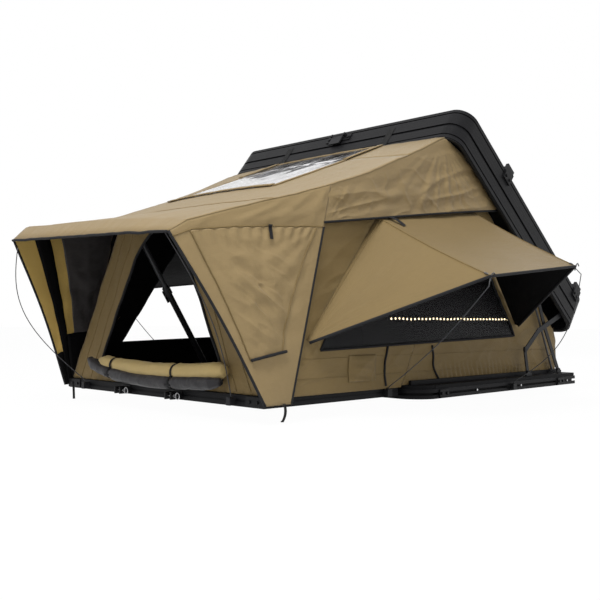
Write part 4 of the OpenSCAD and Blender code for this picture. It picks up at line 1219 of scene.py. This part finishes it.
@dataclass
class FrontWall:
    """The annex's front wall with its arched door."""

    foot_x: float = -1.408
    lean: float = math.tan(math.radians(1.5))
    outline: tuple[Point2, ...] = ((-0.630, 0.0), (0.630, 0.0), (0.300, 0.640), (-0.300, 0.640))
    door_half: float = 0.400
    door_sill: float = 0.040
    arch: tuple[Point2, ...] = ((0.400, 0.08), (0.262, 0.34), (0.150, 0.535), (0.050, 0.622))

    def stand(self, flat: Vector, lift: float = 0.0) -> Vector:
        """Puts a point of the flat wall, X across and Z up, in its place; lift is outward."""
        slack = ruffle(flat, (0.05, 1, 0.2), 0.004) * min(1.0, flat.z / 0.06)
        low = 0.002 * math.sin(2 * math.pi * flat.x / 0.05) * max(0.0, 1 - flat.z / 0.05)
        return Vector((self.foot_x + flat.z * self.lean - slack - low - lift, flat.x,
                       DECK_Z + 0.0015 + flat.z))

    def door(self) -> list[Vector]:
        """Outline of the door, round from its lower left corner."""
        far = [(-y, z) for y, z in reversed(self.arch)]
        sill = [(-self.door_half, self.door_sill), (self.door_half, self.door_sill)]
        return flat_points(sill[:1]) + rounded(flat_points(sill[1:] + list(self.arch) + far), 0.10, 6)

    def build(self) -> None:
        """Makes the wall, the door's bound edge and its zip tape."""
        rim = walk(flat_points(self.outline), 0.012, True)
        rows = ring_rows(rim, self.door(), Vector((0, 0, 0.3)), 12)
        shell = Shell().grid([[self.stand(p) for p in row] for row in rows], lambda p: (p.y, p.z), True)
        shell.face_towards(Vector((-1, 0, 0)))
        wall = shell.build("front_wall_canvas", Finish.CANVAS, CLOTH, Finish.LINING)
        pack_away(wall, Fold.ANNEX, "canvas", "front_wall")
        declare(wall)
        edge = walk(self.door(), 0.02, True)
        edge.append(edge[0])
        bound = Shell().tube([self.stand(p, 0.002) for p in edge], 0.0055)
        pack_away(bound.build("door_binding", Finish.BINDING), Fold.ANNEX, "webbing")
        seams = Shell()
        for side in (-1, 1):
            for share in (0.35, 0.68):
                low = Vector((side * lerp(0.40, 0.630, share), 0, 0.01))
                high = Vector((side * lerp(0.12, 0.310, share), 0, 0.62))
                seams.tube([self.stand(lerp(low, high, i / 30), 0.0008) for i in range(31)], 0.002, 5)
        pack_away(seams.build("front_wall_seams", Finish.CANVAS), Fold.ANNEX, "canvas")


@dataclass
class DoorRoll:
    """The door rolled down along its sill: the canvas roll, the mesh roll before it and their toggles."""

    canvas_ends: Point2 = (0.345, -0.455)
    mesh_ends: Point2 = (0.405, -0.450)
    toggles: tuple[float, ...] = (0.235, -0.175)

    def canvas_at(self, share: float) -> Vector:
        """Middle of the canvas roll at a share of its length."""
        dip = math.sin(math.pi * share) ** 0.8
        return Vector((-1.440, lerp(*self.canvas_ends, share), 0.138 - 0.020 * dip))

    def mesh_at(self, share: float) -> Vector:
        """Middle of the mesh roll at a share of its length."""
        dip = math.sin(math.pi * share) ** 0.6
        return Vector((-1.4585 - 0.006 * dip, lerp(*self.mesh_ends, share),
                       lerp(0.150, 0.100, share) - lerp(0.064, 0.026, share) * dip))

    def roll(self, line: Callable[[float], Vector], radius: float, count: int = 120) -> Shell:
        """A soft roll along a line, nipped in at the toggles, with a wound end."""
        path, sizes = [], []
        for i in range(count + 1):
            point = line(i / count)
            nip = sum(math.exp(-((point.y - y) / 0.016) ** 2) for y in self.toggles)
            swell = 0.10 * noise.noise(Vector((point.y * 9, radius * 90, 0)))
            end = min(1.0, 0.55 + 9 * min(i, count - i) / count)
            path.append(point)
            sizes.append(radius * (1 - 0.24 * nip + swell) * end)
        shell = Shell().tube(path, sizes, 28)
        normals = shell.normals()
        for n, point in enumerate(shell.points):
            lump = ruffle(point, (0.02, 0.10, 0.02), 0.003) + ruffle(point, (0.012, 0.03, 0.012), 0.0016)
            shell.points[n] = point + normals[n] * lump
        return shell

    def build(self) -> None:
        """Makes both rolls and the toggles round them."""
        # The canvas roll's finish is painted light: a brighter copy of the wall canvas.
        canvas = self.roll(self.canvas_at, 0.034).build("door_roll_canvas", Finish.ROLL)
        mesh = self.roll(self.mesh_at, 0.024).build("door_roll_mesh", Finish.NET_ROLL)
        for obj, slot in ((canvas, "canvas"), (mesh, "mesh")):
            pack_away(obj, Fold.ANNEX, slot, "door_roll")
        for number, y in enumerate(self.toggles, 1):
            self.toggle(number, y)

    def toggle(self, number: int, y: float) -> None:
        """Makes one elastic loop with its toggle, round both rolls."""
        upper = self.canvas_at((y - self.canvas_ends[0]) / (self.canvas_ends[1] - self.canvas_ends[0]))
        lower = self.mesh_at((y - self.mesh_ends[0]) / (self.mesh_ends[1] - self.mesh_ends[0]))
        shell = Shell()
        for middle, radius in ((upper, 0.0310), (lower, 0.0230)):
            turns = [2 * math.pi * k / 28 for k in range(29)]
            loop = [middle + Vector((math.cos(t), 0, math.sin(t))) * radius for t in turns]
            shell.strip(loop, Vector((0, 1, 0)), 0.010)
        bar = lower + Vector((-0.021, 0, -0.008))
        shell.tube([bar + Vector((0, d, 0)) for d in (-0.018, -0.014, 0.0, 0.014, 0.018)],
                   (0.002, 0.0045, 0.0038, 0.0045, 0.002), 10)
        pack_away(shell.build(f"door_toggle_{number}", Finish.BINDING, 0.0015), Fold.ANNEX, "webbing")


@dataclass
class RearWall:
    """The low wall at the back, under the lid's hinge line."""

    rear_x: float = 0.612
    top_z: float = 0.285
    lean: float = 0.012

    def place(self, u: float, v: float) -> Vector:
        """Point of the wall: u across, v up."""
        y = lerp(-WALL_Y, WALL_Y, u)
        flat = Vector((self.rear_x - self.lean * v, y, lerp(DECK_Z + 0.0015, self.top_z, v)))
        gather = 0.003 * math.sin(2 * math.pi * y / 0.045) * (1 - v) ** 2
        slack = ruffle(flat, (1, 0.09, 0.05), 0.006) * math.sin(math.pi * v)
        return flat + Vector((gather + slack, 0, 0))

    def build(self) -> None:
        """Makes the wall."""
        shell = Shell().surface(self.place, 140, 16).face_towards(Vector((1, 0, 0)))
        wall = shell.build("rear_wall_canvas", Finish.CANVAS, CLOTH, Finish.LINING)
        pack_away(wall, Fold.MAIN, "canvas", "rear_wall")
        declare(wall)


@dataclass
class SpringRods:
    """The bent spring rods that hold the awning and the window hoods out."""

    radius: float = 0.0018
    foot_length: float = 0.026

    def line(self, foot: Vector, tip: Vector, bulge: Vector, kink: Vector) -> list[Vector]:
        """Line of one rod: a straight foot, a bow up to its kink, and the end at its tip."""
        start, turn = foot + Vector((0, 0, self.foot_length)), tip + kink
        bow = [lerp(start, turn, i / 24) + bulge * math.sin(math.pi * i / 24) for i in range(25)]
        return [foot] + bow + ([tip] if kink.length else [])

    def hook(self, tip: Vector) -> list[Vector]:
        """Line of the end that hooks over the hood's edge and lies back along it."""
        way = 1.0 if tip.y > 0 else -1.0
        return [tip + Vector((along, way * out, up)) for along, out, up in
                ((0, 0, -0.012), (0, 0.004, 0.004), (0.004, 0.006, 0.014), (0.018, 0.004, 0.018),
                 (0.034, 0, 0.008))]

    def build(self) -> None:
        """Makes the rods in the sets that fold away together."""
        sets = {
            "window_rods_front": (Fold.ANNEX, (-0.765, 0.648, 0.0265), (-0.825, 1.146, 0.468),
                                  (0.0, 0.015, -0.012),
                                  (-0.008, 0.0, -0.030)),
            "window_rods_rear": (Fold.MAIN, (0.037, 0.735, 0.0125), (-0.192, 1.146, 0.533),
                                 (0.10, 0.02, -0.045),
                                 (0.055, 0.0, -0.025)),
            "awning_rods": (Fold.ANNEX, (-1.434, 0.480, 0.0265), (-1.742, 0.500, 0.607), (-0.09, 0.06, 0.0),
                            (0, 0, 0)),
        }
        for node, (fold, foot, tip, bulge, kink) in sets.items():
            shell = Shell()
            for side in Side:
                flip = Matrix.Diagonal((1, side.value, 1))
                end = flip @ Vector(tip)
                bow = (0.0, *bulge[1:]) if side is Side.NEAR and not any(kink) else bulge
                shell.tube(self.line(*(flip @ Vector(p) for p in (foot, tip, bow, kink))), self.radius, 10)
                if any(kink):
                    shell.tube(rounded(self.hook(end), 0.006), self.radius * 1.3, 8)
            pack_away(shell.build(f"spring_{node}", Finish.SPRING), fold, "spring_steel", node)


@dataclass
class Bed:
    """A foam mattress in its quilted cover."""

    name: str
    body: str
    span_x: Point2
    half: float
    height: float = 0.043
    quilt: float = 0.11
    notch: Point2 | None = None
    notch_size: Point2 = (0.066, 0.058)

    def rim(self, x: float, y: float) -> float:
        """Distance in from the nearest edge."""
        gap = min(x - self.span_x[0], self.span_x[1] - x, self.half - abs(y))
        if self.notch:
            gap = min(gap, max(abs(x - self.notch[0]) - self.notch_size[0] / 2,
                               abs(abs(y) - self.notch[1]) - self.notch_size[1] / 2))
        return max(gap, 0.0)

    def top(self, u: float, v: float) -> Vector:
        """Point of the upper face: crowned, rounded at the rim and drawn in along the quilting."""
        x, y = lerp(*self.span_x, u), lerp(-self.half, self.half, v)
        round_in = min(1.0, self.rim(x, y) / 0.035)
        dome = math.sqrt(max(0.0, 1 - (1 - round_in) ** 2))
        offsets = (((c + 5) % self.quilt) - self.quilt / 2 for c in (x + y, x - y))
        lines = max(math.exp(-(offset / 0.006) ** 2) for offset in offsets)
        sag = ruffle(Vector((x, y, 0)), (0.2, 0.2, 1), 0.002)
        crown = 0.004 + (self.height - 0.004) * dome - 0.004 * lines * round_in + sag * round_in
        return Vector((x, y, DECK_Z + crown))

    def build(self, node: str) -> None:
        """Makes the mattress, which rides on its floor and stands for a CAD node."""
        def in_notch(centre: Vector) -> bool:
            """Says whether a face lies in a cut-out for a pole's foot."""
            if self.notch is None:
                return False
            return self.rim(centre.x, centre.y) <= 0.0 and self.half - abs(centre.y) > 0.1

        across, down = 96, 110
        shell = Shell().surface(self.top, across, down, lambda p: (p.x, p.y), in_notch)
        under = Shell().surface(lambda u, v: Vector((*self.top(u, v).xy, DECK_Z + 0.0006)), across, down,
                                lambda p: (p.x, p.y), in_notch)
        start = len(shell.points)
        edges = {(a, b) for face in shell.faces for a, b in zip(face, face[1:] + face[:1])}
        shell.points += under.points
        shell.flat += under.flat
        shell.faces += [tuple(n + start for n in reversed(face)) for face in under.faces]
        shell.faces += [(b, a, a + start, b + start) for a, b in sorted(edges) if (b, a) not in edges]
        shell.face_towards(Vector((0, 0, 1)))
        pad = shell.build(self.name, Finish.BED)
        fix(pad, self.body, "mattress", node)


@dataclass
class LidStraps:
    """Webbing loops round the lid's front rail that pull it shut."""

    tilt: float = math.radians(38.0)
    closed_pivot: Point2 = (0.5405, 0.145)
    open_pivot: Point2 = (0.59414, 0.36135)
    rail_x: Point2 = (-0.7096, -0.6864)
    rail_z: Point2 = (0.0575, 0.2356)
    width: float = 0.036
    places: tuple[float, ...] = (-0.33, 0.33)

    def opened(self, x: float, y: float, z: float) -> Vector:
        """A point of the closed lid, moved to its open place."""
        dx, dz = x - self.closed_pivot[0], z - self.closed_pivot[1]
        turn, rise = math.cos(self.tilt), math.sin(self.tilt)
        return Vector((self.open_pivot[0] + dx * turn + dz * rise, y,
                       self.open_pivot[1] - dx * rise + dz * turn))

    def build(self) -> None:
        """Makes both loops with their sewn ends."""
        (x0, x1), (z0, z1) = self.rail_x, self.rail_z
        corners = flat_points([(x0, z0), (x1, z0), (x1, z1), (x0, z1)])
        loop = walk(corners, 0.012, True)
        loop.append(loop[0])
        shell = Shell()
        for place in self.places:
            rows = [[self.opened(p.x, place + self.width * s, p.z) for p in loop] for s in (-0.5, 0.0, 0.5)]
            shell.grid(rows)
            sewn = [self.opened(x0 - 0.0018, place, lerp(z0 + 0.02, z0 + 0.075, i / 6)) for i in range(7)]
            shell.strip(sewn, Vector((0, 1, 0)), self.width * 0.92)
        fix(shell.build("lid_strap_loops", Finish.WEBBING, 0.0012), "lid", "webbing", "lid_straps")


@dataclass
class LightStrip:
    """The warm light strip that hangs inside the photographed window."""

    node: str = "led_strip"
    pitch: float = 0.026
    bead: float = 0.0045

    def build(self) -> None:
        """Makes the strip's backing and its row of lit beads."""
        low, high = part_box(self.node)
        y = lerp(low.y, high.y, 0.6)
        z = (low.z + high.z) / 2
        count = int((high.x - low.x) / self.pitch)
        places = [Vector((low.x + 0.01 + i * self.pitch, y,
                          z + ruffle(Vector((i * 0.3, 0, 0)), (1, 1, 1), 0.003)))
                  for i in range(count)]
        tape = Shell().strip(places, Vector((0, 0, 1)), 0.009)
        backing = tape.build("light_strip_backing", Finish.LINING, 0.001)
        beads = Shell()
        for place in places:
            face = place + Vector((0, -0.0006, 0))
            beads.lathe(face, Vector((0, -1, 0)), ((self.bead, 0.0), (self.bead, 0.0008),
                                                   (self.bead * 0.6, 0.002),
                                                   (0.0004, 0.0025)), 10)
        for piece, slot, nodes in ((backing, "webbing", ()),
                                   (beads.build("light_strip_beads", Finish.GLOW), "light", (self.node,))):
            for fold, part in halves(piece).items():
                pack_away(part, fold, slot, *nodes)


@dataclass
class StrapEnds:
    """Webbing tails that hang from the annex's front corners, as long as the photograph shows them."""

    width: float = 0.010
    length: float = 0.065
    hem: float = 0.0028
    hem_half: float = 0.005
    packed: float = 0.1
    flat: Vector = field(default_factory=lambda: Vector((0.95, -0.31, 0)).normalized())
    aside: Vector = field(default_factory=lambda: Vector((0.7, -0.7, 0)))
    tops: tuple[Vector, ...] = (Vector((-1.424, 0.598, 0.030)), Vector((-1.350, -0.662, 0.030)))
    sways: tuple[tuple[float, float], ...] = ((0.001, 0.003), (0.006, -0.007))

    def route(self, top: Vector, sway: tuple[float, float], steps: int = 18) -> list[Vector]:
        """Centre line of one tail, of the tail's own length.

        Args:
            top: Point where the tail leaves its corner.
            sway: How far its middle and its end stand to the side.
            steps: Number of stretches.

        Returns:
            Points from the corner down to the end.
        """
        middle, end = sway
        line = []
        for t in (i / steps for i in range(steps + 1)):
            reach = 4 * middle * t * (1 - t) + end * t * t
            line.append(self.aside * reach - Vector((0, 0, self.length * t)))
        share = self.length / sum((b - a).length for a, b in zip(line, line[1:]))
        return [top + point * share for point in line]

    def build(self) -> None:
        """Makes the tails."""
        for number, (top, sway) in enumerate(zip(self.tops, self.sways), 1):
            path = self.route(top, sway)
            strap = Shell().strip(path, self.flat, self.width)
            end = path[-1] + Vector((0, 0, self.hem))
            strap.tube([end + self.flat * d for d in (-self.hem_half, self.hem_half)], self.hem)
            tail = fix(strap.build(f"corner_strap_end_{number}", Finish.WEBBING, CLOTH), "annex", "webbing")
            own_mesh(tail)


@dataclass
class Hardware:
    """Finishes of the CAD nodes that stay as they are."""

    nodes: dict[str, bpy.types.Object]
    finishes: dict[Finish, tuple[str, ...]] = field(default_factory=lambda: {
        Finish.LID_RAIL: ("lid_frame",),
        Finish.FRAME: ("base_perimeter_rail", "rear_cross_rail", "base_rim", "lid_crossbars", "annex_frame"),
        Finish.PANEL: ("base_floor_panel", "annex_floor_panel", "lid_skin"),
        Finish.BRACKET: ("crossbar_brackets", "base_hinge_plates", "linkage_brackets", "mounting_clamps",
                         "lid_pivot_brackets",
                         "post_links", "lid_arms", "slide_arms", "annex_hinge_plates", "corner_brackets",
                         "ladder_brackets", "pole_feet", "lid_latch_plate"),
        Finish.STEEL: ("rail_fasteners", "ladder_pin_near", "ladder_pin_far"),
        Finish.STRUT: ("strut_tubes",),
        Finish.SPRING: ("strut_rods",),
        Finish.RUBBER: ("lid_seal",),
        Finish.PLASTIC: ("rod_sockets", "lid_latch_lever", "pole_lever_near", "pole_lever_far"),
        Finish.POLE_GREY: ("pole_tubes_lower", "spreader_bar"),
        Finish.POLE_BRIGHT: ("pole_tubes_upper",),
    })

    def dress(self) -> None:
        """Puts its finish on each node."""
        for finish, names in self.finishes.items():
            for name in names:
                obj = self.nodes[name]
                obj.data.materials.clear()
                obj.data.materials.append(finish.material)
                LOG.info("%s is %s", name, finish.value.name)


@dataclass
class Studio:
    """Pale floor, white surround, soft lights and the photograph's camera."""

    eye: tuple[float, float, float] = (-3.336, -2.692, 0.320)
    yaw: float = math.radians(45.425)
    pitch: float = math.radians(1.342)
    roll: float = math.radians(0.235)
    focal_share: float = 827.24 / 600
    floor_size: float = 60.0
    drop: float = 0.040

    def camera(self) -> None:
        """Makes the camera at the photograph's place."""
        forward = Vector((math.sin(self.yaw) * math.cos(self.pitch),
                          math.cos(self.yaw) * math.cos(self.pitch),
                          math.sin(self.pitch)))
        right = Vector((math.cos(self.yaw), -math.sin(self.yaw), 0))
        up = right.cross(forward)
        side = right * math.cos(self.roll) + up * math.sin(self.roll)
        top = up * math.cos(self.roll) - right * math.sin(self.roll)
        data = bpy.data.cameras.new("photo_camera")
        data.sensor_width = 36.0
        data.sensor_fit = "HORIZONTAL"
        data.lens = data.sensor_width * self.focal_share
        camera = bpy.data.objects.new("photo_camera", data)
        turned = Matrix((side, top, -forward)).transposed().to_4x4()
        camera.matrix_world = Matrix.Translation(self.eye) @ turned
        bpy.context.scene.collection.objects.link(camera)
        bpy.context.scene.camera = camera

    def floor(self) -> None:
        """Makes the floor, white to the camera and in reflections, with the tent's shadow on it."""
        maker = NodeMaker("studio_floor")
        here = maker.coords()
        cloud = maker.noise(here, 0.4, 3.0)
        pale = maker.blend(cloud, (0.86, 0.86, 0.86), (0.9, 0.9, 0.9))
        shadow = maker.add("ShaderNodeBsdfDiffuse", {}, {"Color": pale})
        white = maker.add("ShaderNodeEmission", {}, {"Color": (1, 1, 1, 1), "Strength": 1.0})
        seen = self.seen(maker)
        mixed = maker.add("ShaderNodeMixShader", {}, {0: seen * 0.975, 1: shadow, 2: white})
        maker.add("ShaderNodeOutputMaterial", {}, {"Surface": mixed})
        half = self.floor_size / 2
        mesh = bpy.data.meshes.new("studio_floor")
        mesh.from_pydata([(-half, -half, 0), (half, -half, 0), (half, half, 0), (-half, half, 0)], [],
                         [(0, 1, 2, 3)])
        mesh.materials.append(maker.material)
        floor = bpy.data.objects.new("studio_floor", mesh)
        floor.location.z = -self.drop
        bpy.context.scene.collection.objects.link(floor)

    def seen(self, maker: NodeMaker) -> Val:
        """1 for rays that show the background straight, in gloss or through glass."""
        node = maker.add("ShaderNodeLightPath", {}, {}, "Is Camera Ray")
        outputs = node.socket.node.outputs
        return node.top(Val(maker, outputs["Is Glossy Ray"])).top(Val(maker, outputs["Is Transmission Ray"]))

    def world(self, level: float = 0.50) -> None:
        """Makes the surround: white where it is seen, softer where it lights the tent."""
        world = bpy.data.worlds.new("studio_surround")
        world.use_nodes = True
        bpy.context.scene.world = world
        maker = NodeMaker.of_tree(world.node_tree)
        strength = self.seen(maker) * (1.0 - level) + level
        shine = maker.add("ShaderNodeBackground", {}, {"Color": (1, 1, 1, 1), "Strength": strength})
        maker.add("ShaderNodeOutputWorld", {}, {"Surface": shine})

    def lamp(self, name: str, place: Sequence[float], aim: Sequence[float], size: float,
             power: float) -> None:
        """Makes one soft lamp."""
        data = bpy.data.lights.new(name, "AREA")
        data.size = size
        data.energy = power
        lamp = bpy.data.objects.new(name, data)
        lamp.location = place
        lamp.rotation_euler = (Vector(aim) - Vector(place)).to_track_quat("-Z", "Y").to_euler()
        bpy.context.scene.collection.objects.link(lamp)

    def build(self) -> None:
        """Makes the whole studio."""
        bpy.context.scene.view_settings.view_transform = "Standard"
        self.camera()
        self.floor()
        self.world()
        middle = (-0.5, 0.0, 0.5)
        self.lamp("key_lamp", (-3.9, -1.6, 4.6), middle, 2.4, 300.0)
        self.lamp("near_fill", (-1.2, -5.0, 2.6), middle, 3.0, 35.0)
        self.lamp("rear_fill", (3.5, 1.5, 3.0), middle, 3.0, 60.0)


def main(frame: dict) -> None:
    """Builds and dresses every piece, in order.
    """
    logging.basicConfig(level=logging.INFO, format="%(name)s: %(message)s")
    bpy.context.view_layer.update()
    Studio().build()
    Hardware(frame["nodes"]).dress()
    FlyRoof().build()
    for side in Side:
        FlyLeg(side).build()
        FlyValance(side).build()
        WindowHood(side).build()
        SideWall(side).build()
    FrontWall().build()
    DoorRoll().build()
    RearWall().build()
    SpringRods().build()
    Bed("main_mattress_pad", "base", (-0.640, 0.612), 0.582).build("main_mattress")
    Bed("annex_mattress_pad", "annex", (-1.380, -0.712), 0.590, notch=(-0.970, 0.240)).build("annex_mattress")
    LidStraps().build()
    LightStrip().build()
    StrapEnds().build()


if __name__ == "__main__":
    main(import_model())
